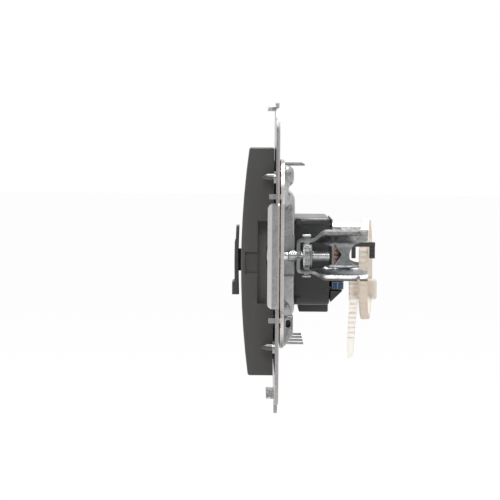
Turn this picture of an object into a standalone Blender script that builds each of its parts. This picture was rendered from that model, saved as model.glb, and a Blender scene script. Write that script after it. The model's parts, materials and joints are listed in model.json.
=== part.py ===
"""Flush-mounted slide dimmer insert: ring, claws, module housing, slide potentiometer, cover and knob.

Run with: blender --background --python part.py
Helper functions work in millimetres and each finished piece is turned into metres.
+Z is up, the front faces -Y, and the origin is the ring's centre on its rear face, the wall plane.
"""
import math

import bmesh
import bpy
from mathutils import Matrix, Vector

MM = 0.001

# Common dimensions, in millimetres
GAP = 0.3
SHEET = 0.8
LIFT = 1.3
CUT = 1.0
STEP = 0.03
ROUND_SIDES = 20
SMOOTH_ANGLE = math.radians(38)

# Support ring: a 71 mm ring for a 60 mm wall box
RING_SPAN = 71.0
RING_BODY_HALF = 33.0
RING_BODY_Z = (-31.5, 33.5)
RING_CORNER = 5.0
RING_WINDOW = (-19.4, 19.4, -11.0, 10.6)
STUB_HALF = 3.0
LIP_HALF = 12.5
LIP_FRONT = -2.55
WINDOW_CORNER = 2.0
STRIP_CORNER = 1.2
STRIP_HALF = 11.5
STRIP_FRONT = -2.6
PIN_X = 27.0
PIN_OFFSET = 18.7
PIN_ROOT = (1.2, 2.6, -1.3)
PIN_PROFILE = ((0.85, -0.6), (0.85, -2.5), (0.62, -3.2), (0.25, -3.85))
BOX_SCREW_SPACING = 60.0
BOX_SCREW_SLOT = (3.3, 7.0)

# Claw chassis: drawn collar behind the ring
FLANGE_HALF = 27.5
FLANGE_Z = (-19.5, 22.0)
FLANGE_CORNER = 6.0
COLLAR_HALF = (24.0, 13.6)
COLLAR_REAR = 3.45
COLLAR_CORNER = 4.0
COLLAR_ROUND = 1.3
CHANNEL_IN = 20.4
CHANNEL_END = 3.5
TOP_CHANNEL = (18.0, 1.3)
COLLAR_WINDOW = (-19.4, 19.4, -10.8, 10.4)
BEAD_X = (13.0, 25.0)
BEAD_TOP = (16.3, 21.0)
BEAD_LOW = ((3.2, -12.2, 0.3), (3.2, -16.3, 0.9), (1.35, -18.9, 0.4))
BEAD_REAR = 3.2
BEAD_CORNER = 2.0
BEAD_ROUND = 1.5
BEAD_HOLE = (1.6, 2.6, -14.75, -13.0)
BEAD_HOLE_END = 15.0
BEAD_HOLE_ROUND = 0.48
BEAD_END_ROUND = 0.25
REAR_TAB_X = ((4.6, 6.9), (15.8, 18.2))
REAR_TAB_Z = (21.1, -18.6)
REAR_TAB_REAR = 5.6
REAR_TAB_THICK = 0.4
EAR_HALF = 1.6
LUG_X = 31.0
LUG_Z = (14.2, -12.9)
LUG_SIZE = (1.0, 1.1)
LUG_FRONT = -2.3

# Claws, their nuts and screws
CLAW_Z = 1.1
CLAW_HINGE = (21.2, 3.85)
SCREW_X = 24.5
CLAW_NECK_HALF = 3.85
CLAW_NECK_REAR = 7.5
CLAW_NECK_OUT = 26.6
CLAW_FLARE_FRONT = 10.3
CLAW_FLARE_HALF = 5.75
CLAW_FLARE_OUT = 27.0
CLAW_LIP = (25.9, 4.6)
CLAW_WEB_HALF = 3.4
CLAW_WEB_FRONT = 11.7
CLAW_REAR = 19.9
CLAW_HOLE = (12.15, 13.9, 2.5)
CLAW_HOLE_CORNER = 0.25
CLAW_BOW_FRONT = 15.6
CLAW_NICK = (17.2, 17.8, 0.6)
CLAW_SLOT_HALF = 1.6
CLAW_ROOM = (20.7, 0.7)
CLAW_NUT_SLOT = (22.6, 25.9, 5.0, 7.4)
NUT_BODY = (22.7, 26.4, 5.4, 7.3, 2.7)
NUT_TAB = (23.5, 25.5, 5.65, 7.05, 4.95)
NUT_BORE = 2.8
SCREW_SHANK = 2.4
SCREW_CORE = 2.0
SCREW_HEAD = 5.2
SCREW_HEAD_FRONT = -2.9
SCREW_TIP = 11.1
SCREW_THREAD_PITCH = 0.9
SCREW_HOLE = 3.4
SCREW_CROSS = (1.7, 0.35, 0.9)

# Centre cover and knob
COVER = 50.0
COVER_Z = -0.3
COVER_FRONT = -8.36
COVER_SAG = 1.66
COVER_REAR = -1.2
COVER_WALL = 1.3
COVER_WINDOW_Z = (-9.5, 8.7)
COVER_WINDOW_FRONT = -4.7
COVER_NOTCH_Z = (-2.87, 1.87)
COVER_NOTCH_FRONT = -7.5
COVER_NOTCH_DEPTH = 0.6
COVER_EDGE = 0.4
KNOB_HALF_WIDTH = 6.0
KNOB_Z = (-8.4, 7.06)
KNOB_FRONT = -9.9
KNOB_THICK = 0.93
KNOB_STEP_Z = 3.7
KNOB_STEP = 0.22
KNOB_BEAD_TOP = -5.2
KNOB_BEAD_FRONT = -10.56
KNOB_EDGE = 0.18
STEM_HALF = 1.1
STEM_Z = (-3.2, 1.8)
STEM_REAR = -6.3
SLOT_Z = (-13.9, 13.0)
SLOT_HALF = 1.5

# Slide potentiometer and carrier plate
POT_HALF = (4.0, 16.0)
POT_Y = (-5.6, -1.45)
POT_WALL = 0.5
CARRIAGE_BLOCK = (3.1, -4.8, -3.0, -4.2, 2.8)
CARRIAGE_LEVER_HALF = 1.0
WIPER = (2.6, -2.7, -2.35, -2.4, 1.0)
TRACK = (3.1, -2.05, -1.7, 14.8)
POT_LEAD_X = (-2.0, 0.0, 2.0)
POT_LEAD_Z = -7.0
POT_LEAD_RADIUS = 0.35
CARRIER_HALF = 22.0
CARRIER_Y = (-2.6, -1.1)
CARRIER_NOTCH_X = 20.8
CARRIER_NOTCH_HALF = 4.0
CLIP_X = (8.0, 12.0)
CLIP_OUT = 23.3
CLIP_FRONT = -4.4
SKIRT = (19.8, 21.0, -5.85, 18.0)

# Module housing and rear cover
HOUSING_HALF = 18.4
HOUSING_Z = (-10.0, 9.4)
HOUSING_Y = (-0.8, 11.3)
HOUSING_WALL = 1.3
FOOT_HALF = 10.0
FOOT_Z = -12.0
FOOT_Y = (4.6, 11.2)
LEDGE_Z = (7.9, 8.3)
LEDGE_OUT = 0.35
HOOK_OUT = 20.4
HOOK_Y = (3.78, 4.78)
HOOK_Z = ((7.9, 9.2), (-9.6, -8.3))
SEAT_Y = (0.7, 1.3)
REAR_HALF = 17.5
REAR_Y = (11.6, 14.6)
REAR_Z_FRONT = (-9.4, 6.8)
REAR_Z_REAR = (-6.5, 6.2)
REAR_LIP = (0.3, 6.2, 9.0)
REAR_WALL = 0.8
SPIGOT = (1.2, 16.0, 10.6, 0.45)
SIDE_NOTCH = (1.5, 11.9, 13.9, -1.6, 3.8)
POST_Z = 4.2
POST_RADIUS = 2.2
POST_FRONT = 6.0
RIB_HALF = 0.8
HOUSING_SCREW = (1.7, 0.8, 14.5, 13.6, 7.0)
HOUSING_SCREW_CROSS = (1.1, 0.25, 0.5)
ANCHOR_X = (8.8, 11.2, 12.4)
ANCHOR_Z = (0.2, 2.8, 3.8)
ANCHOR_PRONGS = ((16.4, 17.3), (20.4, 21.6))
ANCHOR_GROOVES = (0.95, 1.85, 2.75)
WIRE_HOLE = (9.0, -5.9, 1.3)

# Electronics
BOARD = (16.6, 1.6, 3.2, -8.2, 7.6)
TRIAC = (-14.6, -5.4, 4.0, -4.2, 4.6)
TRIAC_HOLE = (1.4, -10.0, 2.6)
HEAT_CLIP = (-15.4, -4.6, 0.9, -4.2, 7.4)
CAPACITOR = (3.0, 9.2, 4.6, -4.0, 7.2)
BUTTON = (12.8, 16.9, 11.9, 14.5, -6.6, -4.9)
CLAMP = (6.0, 12.0, 6.5, 11.2, -7.6, -4.9)
CLAMP_WALL = 0.7
CHOKE_AT = (14.1, 11.2)
CHOKE_CORE_RADIUS = 1.2
CHOKE_Z = (-4.4, 5.3)
WIRE = 0.8
WINDING_RADIUS = 1.9
WINDING_TURNS = 7
WINDING_PITCH = 1.2
WINDING_START_Z = -3.6
POINTS_PER_TURN = 10
LEAD_BEND = 1.2
FUSE_AT = (11.3, 2.0)
FUSE_RADIUS = 1.7
FUSE_X = (-12.6, -5.4)
FUSE_CAP_LENGTH = 2.5

# Cable tie
TIE_WIDTH = 2.4
TIE_THICK = 1.1
TIE_Y = 20.0
TIE_LEAN = 0.115
TIE_HALF = (10.0, 10.92)
TIE_Z = -2.63
TIE_SEGMENTS = 36
TIE_HEAD = (-12.0, -7.4, 16.2, 22.8, -10.0, -5.2)
TIE_TAIL_ROUTE = ((-10.2, 17.4, -6.4), (-10.0, 17.3, -10.5), (-9.6, 17.15, -15.0), (-9.2, 16.8, -23.5))
TIE_TAIL_STEPS = 20
TIE_TAIL_WIDTH = (1.5, 2.0)
TIE_TOOTH = 1.1
TIE_TOOTH_DEPTH = 0.3
TIE_PLAIN_TIP = 4.6

# Finishes: colour, roughness, metallic
FINISHES = {
    "galvanised_steel": ((0.60, 0.62, 0.63), 0.36, 1.0),
    "zinc_plated_steel": ((0.70, 0.71, 0.72), 0.28, 1.0),
    "cover_plastic": ((0.070, 0.068, 0.065), 0.50, 0.0),
    "module_plastic": ((0.022, 0.022, 0.023), 0.38, 0.0),
    "nylon": ((0.86, 0.80, 0.68), 0.42, 0.0),
    "release_blue": ((0.03, 0.13, 0.36), 0.40, 0.0),
    "copper": ((0.42, 0.16, 0.10), 0.35, 0.6),
    "ferrite": ((0.06, 0.06, 0.065), 0.60, 0.0),
    "board": ((0.10, 0.22, 0.10), 0.55, 0.0),
    "track_carbon": ((0.05, 0.05, 0.05), 0.65, 0.0),
    "brass": ((0.72, 0.54, 0.26), 0.32, 1.0),
    "aluminium": ((0.76, 0.77, 0.78), 0.40, 1.0),
    "film_capacitor": ((0.55, 0.34, 0.08), 0.45, 0.0),
    "glass": ((0.80, 0.85, 0.85), 0.10, 0.0),
}


# Shape helpers

def rounded(corners, steps=4):
    """Outline through corners (u, v, radius); a corner with a radius becomes an arc."""
    points = []
    count = len(corners)
    for index, (u, v, radius) in enumerate(corners):
        corner = Vector((u, v))
        if not radius:
            points.append(corner)
            continue
        back = (Vector(corners[index - 1][:2]) - corner).normalized()
        ahead = (Vector(corners[(index + 1) % count][:2]) - corner).normalized()
        half = back.angle(ahead) / 2
        centre = corner + (back + ahead).normalized() * (radius / math.sin(half))
        first = corner + back * (radius / math.tan(half)) - centre
        last = corner + ahead * (radius / math.tan(half)) - centre
        turn = -first.angle_signed(last)
        for step in range(steps + 1):
            points.append(centre + Matrix.Rotation(turn * step / steps, 2) @ first)
    return points


def rounded_box(x0, x1, z0, z1, radius):
    return rounded([(x0, z0, radius), (x1, z0, radius), (x1, z1, radius), (x0, z1, radius)])


def prism(outline, lo, hi, axis):
    """Solid with the outline as its section square to axis, from lo to hi along it."""
    order = {"X": lambda a, u, v: (a, u, v), "Y": lambda a, u, v: (u, a, v)}[axis]
    shape = bmesh.new()
    rings = []
    for level in (lo, hi):
        rings.append([shape.verts.new(order(level, point[0], point[1])) for point in outline])
    shape.faces.new(rings[0])
    shape.faces.new(rings[1])
    for index in range(len(outline)):
        after = (index + 1) % len(outline)
        shape.faces.new((rings[0][index], rings[0][after], rings[1][after], rings[1][index]))
    bmesh.ops.recalc_face_normals(shape, faces=shape.faces)
    return shape


def block(x, y, z, soft=0.0):
    """Box between pairs of limits; soft rounds all of its edges."""
    shape = prism([(x[0], z[0]), (x[1], z[0]), (x[1], z[1]), (x[0], z[1])], y[0], y[1], "Y")
    if soft:
        soften(shape, soft, 2, lambda edge: True)
    return shape


def soften(shape, offset, segments, wanted):
    """Rounds the edges that wanted picks."""
    edges = [edge for edge in shape.edges if wanted(edge)]
    bmesh.ops.bevel(shape, geom=edges, offset=offset, segments=segments, profile=0.5, affect="EDGES",
                    clamp_overlap=True)


def at_level(axis, level):
    """Test for edges that lie in the plane axis = level."""
    return lambda edge: all(abs(vert.co[axis] - level) < 1e-4 for vert in edge.verts)


def turned(profile, centre, axis, sides=ROUND_SIDES):
    """Solid of revolution: profile is (radius, place) along axis, closed on the axis at both ends."""
    along = {"X": 0, "Y": 1, "Z": 2}[axis]
    across = [index for index in range(3) if index != along]
    shape = bmesh.new()

    def point(radius, place, angle):
        where = list(centre)
        where[along] = place
        where[across[0]] += radius * math.cos(angle)
        where[across[1]] += radius * math.sin(angle)
        return shape.verts.new(where)

    angles = [math.tau * side / sides for side in range(sides)]
    rings = [[point(radius, place, angle) for angle in angles] for radius, place in profile]
    for lower, upper in zip(rings, rings[1:]):
        for side in range(sides):
            after = (side + 1) % sides
            shape.faces.new((lower[side], lower[after], upper[after], upper[side]))
    shape.faces.new(rings[0])
    shape.faces.new(rings[-1])
    bmesh.ops.recalc_face_normals(shape, faces=shape.faces)
    return shape


def rod(radius, lo, hi, centre, axis, sides=ROUND_SIDES):
    return turned([(radius, lo), (radius, hi)], centre, axis, sides)


def band(route, widths, depths, closed):
    """Flat strap along a route of points: width lies along Y, depth lies square to the route in XZ."""
    shape = bmesh.new()
    rings = []
    count = len(route)
    for index, place in enumerate(route):
        before = route[index - 1] if closed or index else place
        after = route[(index + 1) % count] if closed or index < count - 1 else place
        tangent = Vector((after[0] - before[0], 0, after[2] - before[2])).normalized()
        out = Vector((-tangent.z, 0, tangent.x))
        wide = Vector((0, widths[index] / 2, 0))
        near, far = depths[index]
        middle = Vector(place)
        ring = (middle - wide - out * near, middle + wide - out * near,
                middle + wide + out * far, middle - wide + out * far)
        rings.append([shape.verts.new(corner) for corner in ring])
    last = count if closed else count - 1
    for index in range(last):
        ring, ahead = rings[index], rings[(index + 1) % count]
        for side in range(4):
            turn = (side + 1) % 4
            shape.faces.new((ring[side], ring[turn], ahead[turn], ahead[side]))
    if not closed:
        shape.faces.new(rings[0])
        shape.faces.new(rings[-1])
    bmesh.ops.recalc_face_normals(shape, faces=shape.faces)
    return shape


def sided(side, near, far):
    """Limits along X of a feature on the right (side 1) or the left (side -1)."""
    return tuple(sorted((side * near, side * far)))


def about(middle, half):
    return (middle - half, middle + half)


# Pieces are made from shapes by joining and cutting

def temporary(shape):
    mesh = bpy.data.meshes.new("temporary")
    shape.to_mesh(mesh)
    shape.free()
    item = bpy.data.objects.new("temporary", mesh)
    bpy.context.scene.collection.objects.link(item)
    return item


def evaluated(item):
    """Replaces an object's mesh with the result of its modifiers."""
    bpy.context.view_layer.update()
    graph = bpy.context.evaluated_depsgraph_get()
    mesh = bpy.data.meshes.new_from_object(item.evaluated_get(graph))
    item.modifiers.clear()
    item.data = mesh


def combine(item, shapes, operation):
    for shape in shapes:
        other = temporary(shape)
        change = item.modifiers.new(operation.lower(), "BOOLEAN")
        change.operation = operation
        change.solver = "EXACT"
        change.object = other
        evaluated(item)
        bpy.data.objects.remove(other, do_unlink=True)


def finish(name):
    made = bpy.data.materials.get(name)
    if made:
        return made
    colour, roughness, metallic = FINISHES[name]
    made = bpy.data.materials.new(name)
    made.use_nodes = True
    shader = made.node_tree.nodes["Principled BSDF"]
    shader.inputs["Base Color"].default_value = (*colour, 1.0)
    shader.inputs["Roughness"].default_value = roughness
    shader.inputs["Metallic"].default_value = metallic
    made.diffuse_color = (*colour, 1.0)
    return made


def settle(item, name, material, origin):
    """Turns the piece into metres, sets its origin and gives it its finish."""
    item.name = name
    item.data.name = name
    item.data.transform(Matrix.Translation(-Vector(origin)))
    item.data.transform(Matrix.Scale(MM, 4))
    item.location = Vector(origin) * MM
    item.data.materials.clear()
    item.data.materials.append(finish(material))
    item.data.shade_smooth()
    item.data.set_sharp_from_angle(angle=SMOOTH_ANGLE)
    return item


def piece(name, material, base, joins=(), cuts=(), origin=(0, 0, 0)):
    item = temporary(base)
    combine(item, joins, "UNION")
    combine(item, cuts, "DIFFERENCE")
    return settle(item, name, material, origin)


# Metalwork

def both_sides(make):
    return [make(side) for side in (1, -1)]


def ring_outline():
    """71 mm ring: square body with a stub above and below and a strip tab on each side."""
    reach = RING_SPAN / 2
    body = RING_BODY_HALF
    bottom, top = RING_BODY_Z
    strip_top = LIFT + STRIP_HALF
    strip_bottom = LIFT - STRIP_HALF
    right = [
        (STUB_HALF, reach, 0.8), (STUB_HALF, top, 0), (body, top, RING_CORNER),
        (body, strip_top, 0), (reach, strip_top, 1.0), (reach, strip_bottom, 1.0), (body, strip_bottom, 0),
        (body, bottom, RING_CORNER), (STUB_HALF, bottom, 0), (STUB_HALF, -reach, 0.8),
    ]
    left = [(-x, z, radius) for x, z, radius in reversed(right)]
    return rounded(right + left)


def bent_strip(side):
    """Edge of the ring bent forward, with rounded front corners."""
    root = -SHEET / 2
    top = LIFT + STRIP_HALF - STEP
    bottom = LIFT - STRIP_HALF + STEP
    outline = rounded([(root, bottom, 0), (root, top, 0), (STRIP_FRONT, top, STRIP_CORNER),
                       (STRIP_FRONT, bottom, STRIP_CORNER)])
    low, high = sided(side, RING_SPAN / 2 - SHEET, RING_SPAN / 2 - STEP)
    return prism(outline, low, high, "X")


def pointed_pin(side, level):
    """Root plate and round pin that narrows to its tip, in front of the ring."""
    thick, tall, front = PIN_ROOT
    middle = COVER_Z + PIN_OFFSET * level
    root = block(about(side * PIN_X, thick / 2), (front, -SHEET / 2), about(middle, tall / 2))
    return [root, turned(PIN_PROFILE, (side * PIN_X, 0, middle), "Y", 12)]


def support_ring():
    bottom, top = RING_BODY_Z
    lips = [block(about(0, LIP_HALF), (LIP_FRONT, -SHEET / 2), lip_z)
            for lip_z in ((top - SHEET / 2, top + SHEET / 2), (bottom + STEP, bottom + SHEET))]
    pins = [shape for side in (1, -1) for level in (1, -1) for shape in pointed_pin(side, level)]
    through = (-SHEET - CUT, CUT)
    slot_half = BOX_SCREW_SLOT[0] / 2
    slot_long = BOX_SCREW_SLOT[1] / 2
    cuts = [prism(rounded_box(*RING_WINDOW, WINDOW_CORNER), *through, "Y")]
    for side in (1, -1):
        cuts.append(rod(SCREW_HOLE / 2, *through, (side * SCREW_X, 0, CLAW_Z), "Y"))
        slot_x = about(side * BOX_SCREW_SPACING / 2, slot_half)
        cuts.append(prism(rounded_box(*slot_x, -slot_long, slot_long, slot_half * 0.98), *through, "Y"))
        for level in LUG_Z:
            lug_x = about(side * LUG_X, LUG_SIZE[0] / 2 + GAP)
            cuts.append(block(lug_x, through, about(level, LUG_SIZE[1] / 2 + GAP)))
    base = prism(ring_outline(), -SHEET, 0, "Y")
    return piece("support_ring", "galvanised_steel", base, both_sides(bent_strip) + lips + pins, cuts)


def collar_channel(x, z):
    """Hollow of the drawn collar, open towards the ring."""
    return block(x, (0, COLLAR_REAR - SHEET), z)


def low_bead(side):
    """Bead under the collar whose lower rear edge slopes away."""
    root = GAP + SHEET / 2
    outline = rounded([(root, BEAD_LOW[-1][1], 0), (root, BEAD_LOW[0][1], 0), *BEAD_LOW])
    bead = prism(outline, *sided(side, *BEAD_X), "X")
    soften(bead, BEAD_END_ROUND, 2, at_level(0, side * BEAD_X[1]))
    return bead


def claw_chassis():
    front = GAP
    rear = GAP + SHEET
    root = GAP + SHEET / 2
    base = prism(rounded_box(-FLANGE_HALF, FLANGE_HALF, *FLANGE_Z, FLANGE_CORNER), front, rear, "Y")
    half_x, half_z = COLLAR_HALF
    collar_plan = rounded_box(-half_x, half_x, LIFT - half_z, LIFT + half_z, COLLAR_CORNER)
    collar = prism(collar_plan, root, COLLAR_REAR, "Y")
    soften(collar, COLLAR_ROUND, 3, at_level(1, COLLAR_REAR))
    joins = [collar]
    cuts = [prism(rounded_box(*COLLAR_WINDOW, WINDOW_CORNER), front - CUT, COLLAR_REAR + CUT, "Y")]
    for side in (1, -1):
        bump = prism(rounded_box(*sided(side, *BEAD_X), *BEAD_TOP, BEAD_CORNER), root, BEAD_REAR, "Y")
        soften(bump, BEAD_ROUND, 3, at_level(1, BEAD_REAR))
        joins += [bump, low_bead(side)]
        for level in REAR_TAB_Z:
            tab_z = about(level, REAR_TAB_THICK / 2)
            joins += [block(sided(side, *x), (root, REAR_TAB_REAR), tab_z) for x in REAR_TAB_X]
        for level in LUG_Z:
            ear_x = sided(side, FLANGE_HALF - 2, LUG_X + LUG_SIZE[0] / 2 - STEP)
            joins.append(block(ear_x, (front + STEP, rear - STEP), about(level, EAR_HALF)))
            lug_x = about(side * LUG_X, LUG_SIZE[0] / 2)
            joins.append(block(lug_x, (LUG_FRONT, root), about(level, LUG_SIZE[1] / 2)))
        room_in, room_gap = CLAW_ROOM
        claw_room = about(CLAW_Z, CLAW_NECK_HALF + room_gap)
        cuts.append(block(sided(side, room_in, half_x + CUT), (rear, COLLAR_REAR + CUT), claw_room))
        cuts.append(rod(SCREW_HOLE / 2, front - CUT, rear + CUT, (side * SCREW_X, 0, CLAW_Z), "Y"))
        channel_x = sided(side, CHANNEL_IN, half_x - SHEET)
        cuts.append(collar_channel(channel_x, (claw_room[1] + SHEET, LIFT + half_z - CHANNEL_END)))
        cuts.append(collar_channel(channel_x, (LIFT - half_z + CHANNEL_END, claw_room[0] - SHEET)))
        hole_x = sided(side, BEAD_HOLE_END, BEAD_X[1] + CUT)
        cuts.append(prism(rounded_box(*BEAD_HOLE, BEAD_HOLE_ROUND), *hole_x, "X"))
    channel_half, channel_lip = TOP_CHANNEL
    top_z = (COLLAR_WINDOW[3] + SHEET, LIFT + half_z - channel_lip)
    cuts.append(collar_channel(about(0, channel_half), top_z))
    return piece("claw_chassis", "galvanised_steel", base, joins, cuts)


def claw_sheet(side):
    """Middle surface of a claw: end wall, two flared flanges, and a web with a bowed rear edge."""
    half = SHEET / 2
    inner = CLAW_HINGE[0] + half
    front = CLAW_HINGE[1] + half
    rear = CLAW_REAR - half
    neck = CLAW_NECK_HALF - half
    web = CLAW_WEB_HALF - half
    flare = CLAW_FLARE_HALF - half
    shape = bmesh.new()

    def vert(x, y, z):
        return shape.verts.new((side * x, y, CLAW_Z + z))

    lip_x, lip = CLAW_LIP[0], CLAW_LIP[1] - half
    nick_front, nick_rear, nick_depth = CLAW_NICK
    nick_share = 1 - nick_depth / (CLAW_FLARE_OUT - lip_x)
    nick_x = lip_x + (CLAW_FLARE_OUT - lip_x) * nick_share
    nick_z = lip + (flare - lip) * nick_share
    cheek = {}
    web_ends = {}
    for up in (1, -1):
        neck_in = vert(inner, front, up * neck)
        neck_out = vert(CLAW_NECK_OUT, front, up * neck)
        bend_in = vert(inner, CLAW_NECK_REAR, up * neck)
        bend_lip = vert(lip_x, CLAW_NECK_REAR, up * neck)
        bend_out = vert(CLAW_NECK_OUT, CLAW_NECK_REAR, up * neck)
        web_front = vert(inner, CLAW_WEB_FRONT, up * web)
        web_rear = vert(inner, rear, up * web)
        lip_front = vert(lip_x, CLAW_FLARE_FRONT + 0.3, up * lip)
        lip_rear = vert(lip_x, rear, up * lip)
        flare_edge = [vert(CLAW_FLARE_OUT, CLAW_FLARE_FRONT, up * flare),
                      vert(CLAW_FLARE_OUT, nick_front, up * flare),
                      vert(nick_x, nick_front + 0.15, up * nick_z),
                      vert(nick_x, nick_rear - 0.15, up * nick_z),
                      vert(CLAW_FLARE_OUT, nick_rear, up * flare),
                      vert(CLAW_FLARE_OUT, rear, up * flare)]
        shape.faces.new((neck_in, bend_in, bend_lip, bend_out, neck_out))
        shape.faces.new((bend_in, web_front, lip_front, bend_lip))
        shape.faces.new((bend_lip, lip_front, flare_edge[0], bend_out))
        shape.faces.new((web_front, web_rear, lip_rear, lip_front))
        shape.faces.new([lip_rear] + flare_edge[::-1] + [lip_front])
        cheek_in = vert(inner + SHEET, front, up * CLAW_SLOT_HALF)
        cheek_out = vert(CLAW_NECK_OUT, front, up * CLAW_SLOT_HALF)
        wall_in = vert(inner, front, up * CLAW_SLOT_HALF)
        shape.faces.new((neck_in, neck_out, cheek_out, cheek_in, wall_in))
        cheek[up] = (wall_in, cheek_in)
        web_ends[up] = (web_front, web_rear)
    shape.faces.new((cheek[1][0], cheek[1][1], cheek[-1][1], cheek[-1][0]))
    steps = 5
    columns = [web_ends[-1]]
    for step in range(1 - steps, steps):
        share = step / steps
        bow = CLAW_BOW_FRONT + (rear - CLAW_BOW_FRONT) * (1 - math.sqrt(1 - share * share))
        columns.append((vert(inner, CLAW_WEB_FRONT, share * web), vert(inner, bow, share * web)))
    columns.append(web_ends[1])
    for lower, upper in zip(columns, columns[1:]):
        shape.faces.new((lower[0], lower[1], upper[1], upper[0]))
    bmesh.ops.recalc_face_normals(shape, faces=shape.faces)
    return shape


def claw(side, word):
    item = temporary(claw_sheet(side))
    thick = item.modifiers.new("thickness", "SOLIDIFY")
    thick.thickness = SHEET
    thick.offset = 0
    thick.use_even_offset = True
    evaluated(item)
    x0, x1, y0, y1 = CLAW_NUT_SLOT
    slots = []
    for up in (1, -1):
        slot_z = tuple(sorted((CLAW_Z + up * CLAW_WEB_HALF * 0.8, CLAW_Z + up * (CLAW_NECK_HALF + CUT))))
        slots.append(block(sided(side, x0, x1), (y0, y1), slot_z))
    front, apex, hole_half = CLAW_HOLE
    hole = rounded([(front, CLAW_Z - hole_half, CLAW_HOLE_CORNER), (apex, CLAW_Z, CLAW_HOLE_CORNER),
                    (front, CLAW_Z + hole_half, CLAW_HOLE_CORNER)])
    web_x = sided(side, CLAW_HINGE[0] - CUT, CLAW_HINGE[0] + SHEET + 0.5)
    combine(item, slots + [prism(hole, *web_x, "X")], "DIFFERENCE")
    origin = (side * CLAW_HINGE[0], CLAW_HINGE[1], CLAW_Z)
    return settle(item, "claw_" + word, "galvanised_steel", origin)


def claw_nut(side, word):
    x0, x1, y0, y1, half = NUT_BODY
    base = block(sided(side, x0, x1), (y0, y1), about(CLAW_Z, half), 0.15)
    tx0, tx1, ty0, ty1, reach = NUT_TAB
    tab = block(sided(side, tx0, tx1), (ty0, ty1), about(CLAW_Z, reach))
    bore = rod(NUT_BORE / 2, y0 - CUT, y1 + CUT, (side * SCREW_X, 0, CLAW_Z), "Y", 16)
    origin = (side * SCREW_X, y0, CLAW_Z)
    return piece("claw_nut_" + word, "zinc_plated_steel", base, [tab], [bore], origin)


def claw_screw(side, word):
    """Pan-head screw with a crossed slot and a ringed thread."""
    core = SCREW_CORE / 2
    crest = SCREW_SHANK / 2
    head = SCREW_HEAD / 2
    head_rear = -SHEET - GAP
    profile = [(head * 0.75, SCREW_HEAD_FRONT), (head, SCREW_HEAD_FRONT + 0.6), (head, head_rear),
               (core, head_rear), (core, GAP + SHEET + 0.5)]
    place = GAP + SHEET + 0.5
    while place + SCREW_THREAD_PITCH < SCREW_TIP - 0.6:
        profile.append((crest, place + SCREW_THREAD_PITCH * 0.4))
        profile.append((crest, place + SCREW_THREAD_PITCH * 0.6))
        profile.append((core, place + SCREW_THREAD_PITCH))
        place += SCREW_THREAD_PITCH
    profile.append((core * 0.5, SCREW_TIP))
    middle = (side * SCREW_X, 0, CLAW_Z)
    base = turned(profile, middle, "Y", 14)
    long, narrow, deep = SCREW_CROSS
    depth = (SCREW_HEAD_FRONT - CUT, SCREW_HEAD_FRONT + deep)
    cross = [block(about(middle[0], long), depth, about(CLAW_Z, narrow)),
             block(about(middle[0], narrow), depth, about(CLAW_Z, long))]
    return piece("claw_screw_" + word, "zinc_plated_steel", base, (), cross, (middle[0], 0, CLAW_Z))


# Front: cover, knob, potentiometer and carrier plate

def bowed(front, z):
    """Depth of a surface that follows the cover's bow, at height z."""
    return front + COVER_SAG * ((z - COVER_Z) / (COVER / 2)) ** 2


def bowed_edge(front, low, high, steps=10):
    levels = [low + (high - low) * step / steps for step in range(steps + 1)]
    return [(bowed(front, level), level) for level in levels]


def centre_cover():
    half = COVER / 2
    low, high = about(COVER_Z, half)
    outline = [(COVER_REAR, high), (COVER_REAR, low)] + bowed_edge(COVER_FRONT, low, high)
    base = prism(outline, -half, half, "X")

    def front_rim(edge):
        forward = all(vert.co.y < COVER_FRONT + COVER_SAG + 0.1 for vert in edge.verts)
        return forward and any(at_level(axis, level)(edge)
                               for axis, level in ((0, half), (0, -half), (2, high), (2, low)))

    soften(base, COVER_EDGE, 2, front_rim)
    inside = half - COVER_WALL
    hollow = [(COVER_REAR + CUT, high - COVER_WALL), (COVER_REAR + CUT, low + COVER_WALL)]
    hollow += bowed_edge(COVER_FRONT + COVER_WALL, low + COVER_WALL, high - COVER_WALL)
    cuts = [prism(hollow, -inside, inside, "X")]
    cuts.append(block(about(0, SLOT_HALF), (COVER_FRONT - CUT, COVER_FRONT + COVER_WALL + CUT), SLOT_Z))
    for side in (1, -1):
        wall = sided(side, inside - 0.2, half + CUT)
        cuts.append(block(wall, (COVER_WINDOW_FRONT, COVER_REAR + CUT), COVER_WINDOW_Z))
        recess = sided(side, half - COVER_NOTCH_DEPTH, half + CUT)
        cuts.append(block(recess, (COVER_NOTCH_FRONT, COVER_WINDOW_FRONT + 0.1), COVER_NOTCH_Z))
    return piece("centre_cover", "cover_plastic", base, (), cuts)


def slider_knob():
    low, high = KNOB_Z
    back = KNOB_FRONT + KNOB_THICK
    outline = bowed_edge(back, low, high, 6)[::-1]
    outline += [(bowed(KNOB_BEAD_FRONT, low), low), (bowed(KNOB_BEAD_FRONT, low), KNOB_BEAD_TOP - 0.5),
                (bowed(KNOB_FRONT, KNOB_BEAD_TOP), KNOB_BEAD_TOP)]
    outline += bowed_edge(KNOB_FRONT, KNOB_BEAD_TOP + 0.6, KNOB_STEP_Z, 4)
    outline += bowed_edge(KNOB_FRONT + KNOB_STEP, KNOB_STEP_Z + 0.15, high, 2)
    base = prism(outline, -KNOB_HALF_WIDTH, KNOB_HALF_WIDTH, "X")
    sides = [at_level(0, level) for level in (KNOB_HALF_WIDTH, -KNOB_HALF_WIDTH)]
    soften(base, KNOB_EDGE, 2, lambda edge: any(test(edge) for test in sides))
    stem = block(about(0, STEM_HALF), (back - KNOB_THICK / 2, STEM_REAR), STEM_Z)
    return piece("slider_knob", "cover_plastic", base, [stem])


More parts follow.
